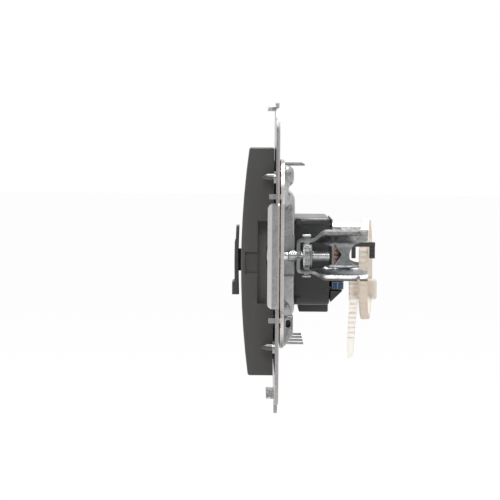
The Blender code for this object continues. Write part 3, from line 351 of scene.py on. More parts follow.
def make_finishes():
    """Finishes by name: the record's material slots, and some that only single pieces have."""
    return {
        "galvanised_steel": coated_metal("galvanised steel", (0.33, 0.335, 0.335), (0.47, 0.48, 0.48),
                                         rough=(0.26, 0.38), crystal=1500.0, strength=0.12),
        "ring_steel": sheared_steel("ring steel", RING_TORN_FROM, RING_HIGHLIGHT_DEPTHS),
        "chassis_steel": sheared_steel("chassis steel", CHASSIS_TORN_FROM, CHASSIS_HIGHLIGHT_DEPTHS),
        "torn_edge": coated_metal("torn edge", (0.09, 0.084, 0.08), (0.19, 0.18, 0.17),
                                  rough=(0.55, 0.75), crystal=2600.0, metal=0.35),
        "claw_steel": coated_metal("claw steel", (0.16, 0.165, 0.17), (0.40, 0.41, 0.415),
                                   rough=(0.27, 0.42), crystal=1200.0, marks=1.2, strength=0.18),
        "zinc_plated_steel": coated_metal("zinc plate", (0.66, 0.67, 0.67), (0.88, 0.89, 0.89),
                                          rough=(0.16, 0.28), crystal=1800.0, marks=0.6, strength=0.12),
        "nut_steel": coated_metal("nut steel", (0.26, 0.27, 0.265), (0.52, 0.53, 0.52),
                                  rough=(0.24, 0.40), crystal=2400.0, marks=0.8, strength=0.15),
        "brass": coated_metal("stamped brass", (0.52, 0.37, 0.15), (0.76, 0.58, 0.28),
                              rough=(0.22, 0.40), crystal=1500.0),
        "aluminium": coated_metal("rolled aluminium", (0.58, 0.59, 0.60), (0.80, 0.81, 0.82),
                                  rough=(0.28, 0.45), crystal=2200.0),
        "copper": enamelled_copper(),
        "cover_plastic": plastic("dark cover", (0.053, 0.052, 0.050), (0.074, 0.073, 0.070),
                                 rough=(0.50, 0.62)),
        "module_plastic": plastic("black module", (0.028, 0.028, 0.028), (0.052, 0.052, 0.051),
                                  rough=(0.26, 0.42), grain=5200.0, patch=220.0),
        "carrier_grey": plastic("grey carrier", (0.150, 0.150, 0.145), (0.200, 0.198, 0.190),
                                rough=(0.38, 0.55), grain=4600.0),
        "release_blue": plastic("blue release", (0.022, 0.080, 0.22), (0.040, 0.125, 0.31),
                                rough=(0.28, 0.42)),
        "pale_release": plastic("pale release frame", (0.30, 0.38, 0.43), (0.42, 0.50, 0.55),
                                rough=(0.26, 0.40)),
        "nylon": natural_nylon("natural nylon", (0.88, 0.79, 0.70), (0.94, 0.86, 0.78), clear=0.55),
        # Darker copy of the nylon: painted shade in the grooves between teeth
        "groove_shade_nylon": natural_nylon("shaded nylon", (0.84, 0.76, 0.69), (0.90, 0.82, 0.75), clear=0.60),
        "tail_nylon": natural_nylon("thin nylon", (0.99, 0.94, 0.88), (1.0, 0.97, 0.92),
                                    clear=0.95, bend=1.3),
        "ferrite": plastic("ferrite", (0.035, 0.035, 0.037), (0.075, 0.074, 0.075),
                           rough=(0.55, 0.75), grain=2600.0),
        "board": plastic("circuit board", (0.07, 0.17, 0.075), (0.12, 0.25, 0.11),
                         rough=(0.40, 0.60), grain=3000.0, patch=900.0),
        "track_carbon": plastic("carbon track", (0.030, 0.030, 0.031), (0.055, 0.054, 0.053),
                                rough=(0.50, 0.70)),
        "film_capacitor": plastic("dipped capacitor", (0.45, 0.26, 0.05), (0.60, 0.37, 0.09),
                                  rough=(0.25, 0.45), grain=1800.0),
        "glass": fuse_glass(),
    }


# Floor, light and background, in metres

FLOOR_LEVEL = -0.060
FLOOR_HALF = 4.0
FLOOR_WHITE = 0.96
# Spans of a direction: X points to the camera's side, and Z up
FRONT_SPAN = (-0.05, 0.70)
ABOVE_SPAN = (0.35, 0.85)
BACKDROP_SPAN = (-0.30, -0.80)
AROUND_TONE = rgba(0.85, 0.85, 0.85)
FRONT_TONE = rgba(0.27, 0.275, 0.28)
# Name, place, width and power
LAMPS = (("top box", (-0.06, -0.04, 0.72), 0.45, 9.5), ("front box", (0.52, -0.05, 0.40), 0.30, 1.0))


def background_rays(graph):
    """The light path, and a mask of the rays that see the white background straight or through a piece."""
    rays = graph.add("ShaderNodeLightPath").outputs
    return rays, graph.calc("MAXIMUM", rays["Is Camera Ray"], rays["Is Transmission Ray"])


def studio_world():
    """Pale surroundings, darker on the camera's side; the camera, and metal facing the rear, see white."""
    world = bpy.data.worlds.new("studio")
    world.use_nodes = True
    bpy.context.scene.world = world
    graph = Graph(world.node_tree)
    rays, shown = background_rays(graph)
    aim = graph.split(graph.add("ShaderNodeTexCoord").outputs["Generated"])
    front = graph.ease(aim["X"], *FRONT_SPAN)
    around = graph.blend(front, AROUND_TONE, FRONT_TONE)
    soft = graph.blend(graph.ease(aim["Z"], *ABOVE_SPAN), around, WHITE)
    mirrored = graph.calc("MULTIPLY", rays["Is Glossy Ray"], graph.ease(aim["X"], *BACKDROP_SPAN))
    shown = graph.calc("MAXIMUM", shown, mirrored)
    back = world.node_tree.nodes["Background"]
    graph.put(graph.blend(shown, soft, WHITE), back.inputs["Color"])
    back.inputs["Strength"].default_value = 1.0


def studio_floor():
    """Pale floor that the camera sees as nearly white, with a trace of the object's shadow."""
    mesh = bpy.data.meshes.new("floor")
    shape = bmesh.new()
    bmesh.ops.create_grid(shape, x_segments=8, y_segments=8, size=FLOOR_HALF)
    shape.to_mesh(mesh)
    shape.free()
    floor = bpy.data.objects.new("floor", mesh)
    floor.location = (0, 0, FLOOR_LEVEL)
    bpy.context.scene.collection.objects.link(floor)
    made, graph, sockets, place = finish("pale floor")
    tone = graph.blend(graph.noise(place, 3.0), rgba(0.50, 0.485, 0.47), rgba(0.55, 0.535, 0.52))
    graph.put(tone, sockets["Base Color"])
    sockets["Roughness"].default_value = 0.9
    glow = graph.add("ShaderNodeEmission")
    glow.inputs["Color"].default_value = WHITE
    rays, seen = background_rays(graph)
    seen = graph.calc("MAXIMUM", seen, rays["Is Glossy Ray"])
    mixed = graph.add("ShaderNodeMixShader")
    graph.put(graph.calc("MULTIPLY", seen, FLOOR_WHITE), mixed.inputs["Fac"])
    nodes = made.node_tree.nodes
    graph.put(nodes["Principled BSDF"].outputs["BSDF"], mixed.inputs[1])
    graph.put(glow.outputs["Emission"], mixed.inputs[2])
    graph.put(mixed.outputs["Shader"], nodes["Material Output"].inputs["Surface"])
    mesh.materials.append(made)


def studio_lamps():
    for name, place, size, power in LAMPS:
        data = bpy.data.lights.new(name, "AREA")
        data.shape = "SQUARE"
        data.size = size
        data.energy = power
        lamp = bpy.data.objects.new(name, data)
        lamp.location = place
        lamp.rotation_euler = (-Vector(place)).to_track_quat("-Z", "Y").to_euler()
        bpy.context.scene.collection.objects.link(lamp)


# Shape helpers, in millimetres

ROD_SIDES = 24


def mesh_object(name, shape):
    """Turns a shape in millimetres into an object in metres."""
    bmesh.ops.recalc_face_normals(shape, faces=shape.faces)
    bmesh.ops.scale(shape, vec=(MM, MM, MM), verts=shape.verts)
    mesh = bpy.data.meshes.new(name)
    shape.to_mesh(mesh)
    shape.free()
    item = bpy.data.objects.new(name, mesh)
    bpy.context.scene.collection.objects.link(item)
    return item


def evaluated_mesh(item):
    bpy.context.view_layer.update()
    graph = bpy.context.evaluated_depsgraph_get()
    return bpy.data.meshes.new_from_object(item.evaluated_get(graph))


def apply_modifiers(item):
    """Replaces an object's mesh with the result of its modifiers."""
    mesh = evaluated_mesh(item)
    item.modifiers.clear()
    item.data = mesh


def cut(item, shapes):
    for shape in shapes:
        tool = mesh_object("cutter", shape)
        change = item.modifiers.new("cut", "BOOLEAN")
        change.operation = "DIFFERENCE"
        change.solver = "EXACT"
        change.object = tool
        apply_modifiers(item)
        bpy.data.objects.remove(tool, do_unlink=True)


def quads(shape, rows, ring=False):
    """Faces between rows of vertices; ring joins the last column to the first."""
    for lower, upper in zip(rows, rows[1:]):
        count = len(lower)
        for index in range(count if ring else count - 1):
            after = (index + 1) % count
            shape.faces.new((lower[index], lower[after], upper[after], upper[index]))


def lattice(shape, rows, ring=False):
    """Surface through rows of points; gives back its rows of vertices."""
    made = [[shape.verts.new(place) for place in row] for row in rows]
    quads(shape, made, ring)
    return made


def capped(shape, rows):
    """Closed tube through rings of points."""
    made = lattice(shape, rows, True)
    shape.faces.new(made[0])
    shape.faces.new(made[-1])


def looped(shape, rows):
    """Tube through rings of points that comes back to its start."""
    made = lattice(shape, rows, True)
    quads(shape, [made[-1], made[0]], True)


def block(shape, x, y, z, soft=0.0):
    """Adds a box between pairs of limits, with rounded edges."""
    corners = [(x[0], z[0]), (x[1], z[0]), (x[1], z[1]), (x[0], z[1])]
    before = set(shape.verts)
    capped(shape, [[(u, level, v) for u, v in corners] for level in y])
    if soft:
        edges = [edge for edge in shape.edges if edge.verts[0] not in before]
        bmesh.ops.bevel(shape, geom=edges, offset=soft, segments=3, profile=0.5, affect="EDGES")


def box_shape(x, y, z):
    shape = bmesh.new()
    block(shape, x, y, z)
    return shape


def circle_angles(sides):
    return [math.tau * side / sides for side in range(sides)]


def rod_shape(radius, y, x, z):
    shape = bmesh.new()
    turns = circle_angles(ROD_SIDES)
    around = [(x + radius * math.sin(angle), z + radius * math.cos(angle)) for angle in turns]
    capped(shape, [[(u, level, v) for u, v in around] for level in y])
    return shape


def sided(side, near, far):
    """Limits of X on the right side, or mirrored on the left."""
    return tuple(sorted((side * near, side * far)))


def eased(value, low, high):
    """Smooth share from 0 at low to 1 at high."""
    share = min(max((value - low) / (high - low), 0.0), 1.0)
    return share * share * (3 - 2 * share)


def ease_edges(item, width, angle=40, segments=2):
    change = item.modifiers.new("eased edges", "BEVEL")
    change.width = width * MM
    change.segments = segments
    change.limit_method = "ANGLE"
    change.angle_limit = math.radians(angle)
    item.modifiers.new("even shading", "WEIGHTED_NORMAL")


def keep_sharp(item, degrees):
    """Shades smoothly all but the edges that are sharper than an angle."""
    item.data.set_sharp_from_angle(angle=math.radians(degrees))


def give_finishes(item, *names):
    for name in names:
        item.data.materials.append(FINISHES[name])


def dress(item, finish_name, body, slot, *nodes):
    """Gives a new piece its finish, the body that it rides on and the nodes that it stands for."""
    if not item.data.materials:
        give_finishes(item, finish_name)
    for face in item.data.polygons:
        face.use_smooth = True
    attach(item, body)
    if nodes:
        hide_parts(*nodes)
    return item


# Spreading claws: bent sheet with rolled bends, a web with a three-cornered hole, and slots for the tabs

# Heights on a claw are measured up and down from its middle, at this level
CLAW_LEVEL = 1.1
SCREW_AT = 24.5
CLAW_INNER = 21.6
CLAW_SHEET = 0.75
CLAW_EDGE = 0.10
WEB_FRONT = 11.7
CLAW_END = 19.5
CUT_FLOOR = 15.6
CUT_HALF = 3.55
FLANGE_BEND = 1.4
BEND_TURNS = (0, 18, 36, 54, 72)
FLANGE_X = (23.0, 23.7, 24.5, 25.2, 25.7, 26.05, 26.2, 26.35, 26.5, 26.65, 26.85, 27.05)
FLANGE_ROOT = 3.0
UPPER_SLOPE = 0.39
LOWER_SLOPE = 0.279
LIP_SLOPE = 1.25
LIP_X = 26.4
LIP_SOFT = 0.2
FLARE_Y = (6.9, 10.4)
CURL_FRONT = 9.2
NECK_REACH = 0.926
CHEEK_Y = 4.25
CHEEK_HEIGHTS = (0.38, 1.0, 1.8, 2.45)
NECK_BEND = 0.6
NECK_TURNS = (0, 30, 60, 90)
NECK_HALF = 3.45
NECK_Y = (5.4, 6.1, 6.7)
RAMP_START = 7.0
RAMP_STEP = 0.4
RAMP_STEPS = 10
RAMP_END = 11.1
WEB_STEPS = 12
WEB_PARTS = 8
# Behind this depth a claw's rim is torn; in front, it takes the lighter plain finish as a painted highlight
TORN_BEHIND_HIGHLIT_FRONT = 9.0
SCREW_PASS_RADIUS = 1.6
SCREW_PASS_Y = (3.4, 5.2)
# Limits of X, Y and height
TAB_SLOT = ((22.6, 25.9), (4.85, 7.3), (2.72, 5.0))
LIP_NICK = ((26.45, 28.0), (17.2, 17.8), (4.3, 6.6))
WEB_HOLE_X = (20.9, 22.6)
# Y and height of each corner
WEB_HOLE = ((12.2, -1.8), (12.45, -1.85), (13.75, 0.05), (13.85, 0.28), (13.75, 0.5), (12.45, 2.4),
            (12.2, 2.35))


def above_or_below(up, near, far):
    """Limits of Z between two heights above the claw's middle, or below it."""
    return tuple(sorted((CLAW_LEVEL + up * near, CLAW_LEVEL + up * far)))


def flange_rise(x, slope):
    """Height of a flared flange at x: a shallow slope with a steeper lip."""
    past = x - LIP_X
    rise = FLANGE_ROOT + slope * (x - CLAW_INNER)
    if past > LIP_SOFT:
        return rise + (LIP_SLOPE - slope) * past
    if past > -LIP_SOFT:
        rise += (LIP_SLOPE - slope) * (past + LIP_SOFT) ** 2 / (4 * LIP_SOFT)
    return rise


def cut_back(y, height):
    """Depth of a sheet point, at a height from the middle, after the round cut at the claw's rear."""
    if y <= WEB_FRONT:
        return y
    bow = CUT_FLOOR + (CLAW_END - CUT_FLOOR) * (1 - math.sqrt(1 - min(height / CUT_HALF, 1.0) ** 2))
    return WEB_FRONT + (y - WEB_FRONT) * (bow - WEB_FRONT) / (CLAW_END - WEB_FRONT)


def flange_row(y, neck, slope):
    """Points across one flange at depth y, from the web's bend to the lip's edge."""
    flare = eased(y, *FLARE_Y)
    curl = eased(y, CURL_FRONT, WEB_FRONT)
    reach = NECK_REACH + (1 - NECK_REACH) * flare

    def place(x):
        x = CLAW_INNER + (x - CLAW_INNER) * reach
        return Vector((x, y, neck + (flange_rise(x, slope) - neck) * flare))

    root = place(FLANGE_X[0])
    points = []
    for turn in BEND_TURNS:
        angle = math.radians(turn)
        flat = place(CLAW_INNER + FLANGE_BEND * turn / 90)
        rolled = root - FLANGE_BEND * Vector((math.cos(angle), 0, 1 - math.sin(angle)))
        points.append(flat.lerp(rolled, curl))
    points += [place(x) for x in FLANGE_X]
    for point in points:
        point.y = cut_back(y, point.z)
    return points


def claw_levels():
    """Depth and neck height along a flange: cheek of the end wall, bend, neck, ramp and flare."""
    levels = [(CHEEK_Y, height) for height in CHEEK_HEIGHTS]
    for turn in NECK_TURNS:
        angle = math.radians(turn)
        depth = CHEEK_Y + NECK_BEND * (1 - math.cos(angle))
        levels.append((depth, NECK_HALF - NECK_BEND * (1 - math.sin(angle))))
    depths = list(NECK_Y)
    depths += [RAMP_START + RAMP_STEP * step for step in range(RAMP_STEPS)]
    depths.append(RAMP_END)
    depths += [WEB_FRONT + (CLAW_END - WEB_FRONT) * step / WEB_STEPS for step in range(WEB_STEPS + 1)]
    return levels + [(depth, NECK_HALF) for depth in depths]


def claw_sheet(side):
    """Middle surface of a claw: two flanges, the strip that joins them in front, and the web behind."""
    shape = bmesh.new()
    levels = claw_levels()
    flange = {}
    for up, slope in ((1, UPPER_SLOPE), (-1, LOWER_SLOPE)):
        rows = [flange_row(*level, slope) for level in levels]
        flange[up] = lattice(shape, [[(side * x, y, CLAW_LEVEL + up * z) for x, y, z in row] for row in rows])
    quads(shape, [flange[up][0][:3] for up in (1, -1)])
    rear = [index for index, level in enumerate(levels) if level[0] >= WEB_FRONT - 1e-6]
    half = flange_row(*levels[rear[0]], LOWER_SLOPE)[0].z
    columns = [[flange[-1][index][0] for index in rear]]
    for part in range(1 - WEB_PARTS, WEB_PARTS):
        height = half * part / WEB_PARTS
        columns.append([shape.verts.new((side * CLAW_INNER, cut_back(levels[index][0], abs(height)),
                                         CLAW_LEVEL + height)) for index in rear])
    columns.append([flange[1][index][0] for index in rear])
    quads(shape, columns)
    return shape


def claw(side, word):
    item = mesh_object("claw_sheet_" + word, claw_sheet(side))
    give_finishes(item, "claw_steel", "torn_edge")
    thick = item.modifiers.new("thickness", "SOLIDIFY")
    thick.material_offset_rim = 1
    thick.thickness = CLAW_SHEET * MM
    thick.offset = 0
    thick.use_even_offset = True
    apply_modifiers(item)
    # The sheared rim keeps its torn finish only at the claw's rear; in front, the rim's lighter plain finish
    # is a painted highlight on the neck's edges
    for face in item.data.polygons:
        if face.center.y < TORN_BEHIND_HIGHLIT_FRONT * MM:
            face.material_index = 0
    tools = [rod_shape(SCREW_PASS_RADIUS, SCREW_PASS_Y, side * SCREW_AT, CLAW_LEVEL)]
    for up in (1, -1):
        for x, y, heights in (TAB_SLOT, LIP_NICK):
            tools.append(box_shape(sided(side, *x), y, above_or_below(up, *heights)))
    hole = bmesh.new()
    capped(hole, [[(side * x, y, CLAW_LEVEL + height) for y, height in WEB_HOLE] for x in WEB_HOLE_X])
    cut(item, tools + [hole])
    ease_edges(item, CLAW_EDGE, angle=50, segments=3)
    return dress(item, "claw_steel", "claw_" + word, "galvanised_steel", "claw_" + word)


# Claw screws: a pan head, a helical thread and a tip

SCREW_SIDES = 28
# Radius and depth of each ring
SCREW_HEAD = ((0.9, -2.90), (1.6, -2.88), (2.15, -2.74), (2.45, -2.50), (2.58, -2.20), (2.60, -1.90),
              (2.60, -1.22), (2.52, -1.12), (1.02, -1.10), (1.0, -1.0), (1.0, 1.6))
SCREW_TIP = ((0.95, 11.05), (0.7, 11.15), (0.3, 11.18))
THREAD_SPAN = (1.6, 11.0)
THREAD_RUN_IN = (1.7, 2.2)
THREAD_PITCH = 0.45
THREAD_CORE = 0.94
THREAD_CREST = 1.34
THREAD_STEPS = 8
RIDGE_STEEPNESS = 1.7
RIDGE_ROOT = 0.35
RECESS_ARM = 1.7
RECESS_HALF = 0.32
RECESS_Y = (-3.6, -2.0)


def thread_radius(y, angle):
    """Radius of the screw's threaded shank at a depth and an angle about its axis."""
    phase = (y / THREAD_PITCH - angle / math.tau) % 1.0
    ridge = min(max((1 - abs(2 * phase - 1)) * RIDGE_STEEPNESS - RIDGE_ROOT, 0.0), 1.0)
    return THREAD_CORE + (THREAD_CREST - THREAD_CORE) * ridge * eased(y, *THREAD_RUN_IN)


def claw_screw(side, word):
    """Pan-head screw with a crossed recess and a helical thread."""
    turns = circle_angles(SCREW_SIDES)
    middle = side * SCREW_AT
    rows = [[(radius, y) for _ in turns] for radius, y in SCREW_HEAD]
    start, end = THREAD_SPAN
    step = THREAD_PITCH / THREAD_STEPS
    for index in range(1, int((end - start) / step) + 1):
        y = start + index * step
        rows.append([(thread_radius(y, angle), y) for angle in turns])
    rows += [[(radius, y) for _ in turns] for radius, y in SCREW_TIP]
    shape = bmesh.new()
    capped(shape, [[(middle + radius * math.sin(angle), y, CLAW_LEVEL + radius * math.cos(angle))
                    for (radius, y), angle in zip(row, turns)] for row in rows])
    item = mesh_object("screw_thread_" + word, shape)
    recess = []
    for across, along in ((RECESS_ARM, RECESS_HALF), (RECESS_HALF, RECESS_ARM)):
        height = (CLAW_LEVEL - along, CLAW_LEVEL + along)
        recess.append(box_shape((middle - across, middle + across), RECESS_Y, height))
    cut(item, recess)
    keep_sharp(item, 50)
    return dress(item, "zinc_plated_steel", "screw_" + word, "zinc_plated_steel", "claw_screw_" + word)


# Claw nuts: a barrel with broken grooves, a collar, and a barred tab above and below

NUT_SIDES = 144
NUT_SHIFT = 0.05
NUT_HALF = (1.85, 2.7)
NUT_ROUND = 0.72
NUT_BORE = 1.4
NUT_ENDS = (5.20, 7.28)
# Share of the full outline and depth of each ring
NUT_BODY = ((0.93, 5.20), (0.985, 5.27), (1.0, 5.35), (1.0, 5.55))
NUT_COLLAR = ((1.0, 6.80), (0.93, 6.86), (0.86, 6.88), (0.86, 7.05), (0.95, 7.07), (0.97, 7.12),
              (0.97, 7.20), (0.93, 7.28))
NUT_GROOVES = (5.65, 6.08, 6.52)
GROOVE_HALF = (0.10, 0.05)
GROOVE_SHARE = 0.93
GROOVE_BREAKS = 18
BREAK_OVER = 0.4
# Limits of X, Y and height, and how round the edges are
TAB_STEM = ((23.7, 25.2), (5.5, 6.7), (2.3, 4.2), 0.1)
TAB_BAR = ((23.5, 25.5), (5.05, 7.05), (4.1, 4.7), 0.15)


def barrelled(value):
    """Moves a circle's sine or cosine out to the fuller outline of a barrel."""
    return math.copysign(abs(value) ** NUT_ROUND, value)


def nut_ring(side, y, share, broken=False):
    """Ring round the nut's barrel; a broken groove keeps full size at regular places."""
    middle = side * (SCREW_AT + NUT_SHIFT)
    across, upward = NUT_HALF
    ring = []
    for angle in circle_angles(NUT_SIDES):
        size = 1.0 if broken and math.cos(GROOVE_BREAKS * angle) > BREAK_OVER else share
        ring.append((middle + across * size * barrelled(math.cos(angle)), y,
                     CLAW_LEVEL + upward * size * barrelled(math.sin(angle))))
    return ring


def bore_ring(side, y):
    return [(side * SCREW_AT + NUT_BORE * math.cos(angle), y, CLAW_LEVEL + NUT_BORE * math.sin(angle))
            for angle in circle_angles(NUT_SIDES)]


def claw_nut(side, word):
    """Barrel-sided nut with broken grooves round it, a collar and a barred tab above and below."""
    rows = [bore_ring(side, NUT_ENDS[0])]
    rows += [nut_ring(side, y, share) for share, y in NUT_BODY]
    outer, inner = GROOVE_HALF
    for level in NUT_GROOVES:
        rows.append(nut_ring(side, level - outer, 1.0))
        rows += [nut_ring(side, level + step, GROOVE_SHARE, True) for step in (-inner, inner)]
        rows.append(nut_ring(side, level + outer, 1.0))
    rows += [nut_ring(side, y, share) for share, y in NUT_COLLAR]
    rows.append(bore_ring(side, NUT_ENDS[1]))
    shape = bmesh.new()
    looped(shape, rows)
    for up in (1, -1):
        for x, y, heights, soft in (TAB_STEM, TAB_BAR):
            block(shape, sided(side, *x), y, above_or_below(up, *heights), soft)
    item = mesh_object("nut_barrel_" + word, shape)
    dress(item, "nut_steel", "nut_" + word, "zinc_plated_steel", "claw_nut_" + word)
    keep_sharp(item, 45)
    item.modifiers.new("even shading", "WEIGHTED_NORMAL")
    return item


# Cable tie: a toothed loop, its head, and a tail with teeth down to a plain tip

TIE_HALF = (10.0, 10.92)
TIE_LEVEL = -2.63
TIE_Y = 19.9
TIE_LEAN = 0.088
TIE_TEETH = 60
TOOTH_STEPS = 4
STRAP_HALF = 0.55
STRAP_WIDTH = 1.98
STRAP_SOFT = 0.28
STRAP_CORNER = 0.08
LOOP_TOOTH = 0.16
# Limits of X, Y and Z, and how round the edges are
TIE_HEAD = ((-12.0, -7.4), (17.4, 22.8), (-10.0, -5.2), 0.7)
TAIL_KNOTS = ((-7.0, 17.65, -4.9), (-6.9, 17.65, -6.4), (-7.2, 17.6, -10.2), (-8.6, 17.2, -15.0),
              (-9.2, 16.8, -23.5))
TAIL_SPACING = 0.275
TAIL_TOOTH = 0.22
TAIL_NEAR = 0.5
TAIL_PLAIN = 3.6
TAIL_POINT = 1.4
TAIL_TIP_SHARE = 0.75
TAIL_WIDTH = (1.5, 2.0)
# Extra width, gained between two heights
TAIL_SHOULDER = (0.65, -10.9, -9.9)
CURVE_STEPS = 200


def strap_section(half, near, far):
    """Outline of a strap across its run, as width and depth, with broken corners."""
    soft, corner = STRAP_SOFT, STRAP_CORNER
    return ((-half + soft, -near), (half - soft, -near), (half - corner, -near + corner),
            (half, -near + soft), (half, far - soft), (half - corner, far - corner),
            (half - soft, far), (-half + soft, far), (-half + corner, far - corner),
            (-half, far - soft), (-half, -near + soft), (-half + corner, -near + corner))


def strap(shape, route, widths, near, far, closed):
    """Flat strap along points; its width lies along Y, and its depth is square to the route in XZ."""
    rows = []
    count = len(route)
    for index, place in enumerate(route):
        before = route[index - 1] if closed or index else place
        after = route[(index + 1) % count] if closed or index < count - 1 else place
        run = Vector((after[0] - before[0], 0, after[2] - before[2])).normalized()
        out = Vector((-run.z, 0, run.x))
        section = strap_section(widths[index] / 2, near[index], far[index])
        rows.append([Vector(place) + Vector((0, y, 0)) + out * depth for y, depth in section])
    if closed:
        looped(shape, rows)
    else:
        capped(shape, rows)


def smooth_route(knots, spacing):
    """Points about a spacing apart on a smooth curve through knots."""
    fine = []
    for index in range(len(knots) - 1):
        before = knots[max(index - 1, 0)]
        after = knots[min(index + 2, len(knots) - 1)]
        start, end = knots[index], knots[index + 1]
        for step in range(CURVE_STEPS):
            t = step / CURVE_STEPS
            fine.append(start * (2 * t ** 3 - 3 * t ** 2 + 1) + (end - before) / 2 * (t ** 3 - 2 * t ** 2 + t)
                        + end * (3 * t ** 2 - 2 * t ** 3) + (after - start) / 2 * (t ** 3 - t ** 2))
    fine.append(knots[-1])
    route = [fine[0]]
    for place in fine[1:]:
        if (place - route[-1]).length >= spacing:
            route.append(place)
    return route


def tie_loop():
    """Toothed loop and head of the tie."""
    shape = bmesh.new()
    count = TIE_TEETH * TOOTH_STEPS
    loop = []
    for angle in circle_angles(count):
        x = TIE_HALF[0] * math.cos(angle)
        loop.append((x, TIE_Y - TIE_LEAN * x, TIE_LEVEL + TIE_HALF[1] * math.sin(angle)))
    toothed = [STRAP_HALF - LOOP_TOOTH * (index % TOOTH_STEPS in (1, 2)) for index in range(count)]
    # Run backwards, the loop has its teeth on the outside; the second finish, a darker copy of the nylon, is
    # painted shade in the grooves
    strap(shape, loop[::-1], [STRAP_WIDTH] * count, [STRAP_HALF] * count, toothed, True)
    for face in shape.faces:
        middle = face.calc_center_median()
        angle = math.atan2((middle.z - TIE_LEVEL) / TIE_HALF[1], middle.x / TIE_HALF[0])
        face.material_index = int(angle / math.tau * count % TOOTH_STEPS < 1)
    block(shape, *TIE_HEAD)
    item = mesh_object("tie_strap", shape)
    give_finishes(item, "nylon", "groove_shade_nylon")
    dress(item, "nylon", "frame", "nylon", "cable_tie")
    keep_sharp(item, 50)


def tie_tail():
    """Tail that leaves the head, narrows below it and ends in a plain tip."""
    route = smooth_route([Vector(place) for place in TAIL_KNOTS], TAIL_SPACING)
    tip = route[-1].z
    narrow, wide = TAIL_WIDTH
    shoulder, low, high = TAIL_SHOULDER
    widths = []
    toothed = []
    for index, place in enumerate(route):
        over = place.z - tip
        share = over / (route[0].z - tip)
        point = TAIL_TIP_SHARE + (1 - TAIL_TIP_SHARE) * eased(over, 0.0, TAIL_POINT)
        width = (narrow + (wide - narrow) * share) * point
        widths.append(width + shoulder * eased(place.z, low, high))
        toothed.append(STRAP_HALF - TAIL_TOOTH * (index % TOOTH_STEPS == 1) * (over > TAIL_PLAIN))
    shape = bmesh.new()
    strap(shape, route, widths, [TAIL_NEAR] * len(route), toothed, False)
    for face in shape.faces:
        height = face.calc_center_median().z
        above = sum(place.z > height for place in route)
        # Painted shade: faces in the grooves between the tail's teeth take the darker nylon
        face.material_index = int(above % TOOTH_STEPS == 2 and height - tip > TAIL_PLAIN)
    item = mesh_object("tie_tail", shape)
    give_finishes(item, "tail_nylon", "groove_shade_nylon")
    dress(item, "tail_nylon", "frame", "nylon", "cable_tie")
    keep_sharp(item, 50)


# Choke winding: enamelled wire wound turn against turn, with a lead from the board

CHOKE_AT = (14.1, 11.2)
TURN_RADIUS = 1.9
WIRE_RADIUS = 0.52
WINDING_START = -3.6
WINDING_RISE = 8.4
WINDING_TURNS = 8
TURN_STEPS = 28
LEAD_Y = (3.5, 5.5, 7.5, 9.5, 10.7)
LEAD_OUT = 1.2


def choke_route():
    x, y = CHOKE_AT
    route = [Vector((x + TURN_RADIUS, depth, WINDING_START)) for depth in LEAD_Y]
    count = WINDING_TURNS * TURN_STEPS
    for step in range(count + 1):
        angle = math.tau * step / TURN_STEPS
        route.append(Vector((x + TURN_RADIUS * math.cos(angle), y - TURN_RADIUS * math.sin(angle),
                             WINDING_START + WINDING_RISE * step / count)))
    route.append(route[-1] + Vector((0, LEAD_OUT, 0)))
    return route


def choke_winding():
    route = choke_route()
    curve = bpy.data.curves.new("choke_turns", "CURVE")
    curve.dimensions = "3D"
    curve.bevel_depth = WIRE_RADIUS * MM
    curve.bevel_resolution = 3
    curve.use_fill_caps = True
    line = curve.splines.new("POLY")
    line.points.add(len(route) - 1)
    for point, place in zip(line.points, route):
        point.co = (*(place * MM), 1.0)
    guide = bpy.data.objects.new("guide", curve)
    bpy.context.scene.collection.objects.link(guide)
    mesh = evaluated_mesh(guide)
    bpy.data.objects.remove(guide, do_unlink=True)
    item = bpy.data.objects.new("choke_turns", mesh)
    bpy.context.scene.collection.objects.link(item)
    return dress(item, "copper", "frame", "copper", "choke_winding")


# Terminal releases: pale frame with two blue pads let into its side, in pockets that are a gap larger

# Limits of X, Y and Z, and how round the edges are
RELEASE_FRAME = ((12.8, 16.9), (11.9, 14.5), (-6.6, -4.9), 0.15)
RELEASE_EDGE = 0.05
POCKET_X = (16.5, 17.4)
POCKETS_Y = ((12.08, 13.08), (13.26, 14.32))
POCKET_Z = (-6.42, -5.08)
PAD_X = (16.4, 16.84)
PAD_GAP = 0.06
PAD_SOFT = 0.12


def release_button(side, word):
    x, y, z, soft = RELEASE_FRAME
    shape = bmesh.new()
    block(shape, sided(side, *x), y, z, soft)
    item = mesh_object("release_frame_" + word, shape)
    cut(item, [box_shape(sided(side, *POCKET_X), pocket, POCKET_Z) for pocket in POCKETS_Y])
    ease_edges(item, RELEASE_EDGE)
    dress(item, "pale_release", "button_" + word, "release_blue", "release_button_" + word)
    low, high = POCKET_Z
    height = (low + PAD_GAP, high - PAD_GAP)
    shape = bmesh.new()
    for front, rear in POCKETS_Y:
        block(shape, sided(side, *PAD_X), (front + PAD_GAP, rear - PAD_GAP), height, PAD_SOFT)
    pads = mesh_object("release_pads_" + word, shape)
    dress(pads, "release_blue", "button_" + word, "release_blue")


# Drawn fillets between the chassis flange and its collar

# Knots of Z and of height over the flange
FILLETS = {
    "upper": ((10.5, 0.0), (12.4, 1.2), (13.9, 1.3), (14.9, 0.75), (15.9, 0.95), (17.3, 1.6), (19.6, 1.5),
              (20.6, 0.7), (21.0, 0.0)),
    "lower": ((-13.1, 0.0), (-12.8, 1.3), (-12.2, 1.7), (-11.0, 1.9), (-9.8, 1.2), (-8.4, 0.0)),
}
FILLET_X = (23.9, 27.2)
FILLET_STEP = 0.35
FILLET_COLUMNS = 16
FILLET_HOLLOW = 0.6
FILLET_LIFT = 0.02
FILLET_SUNK = 0.15
FLANGE_REAR = 1.1
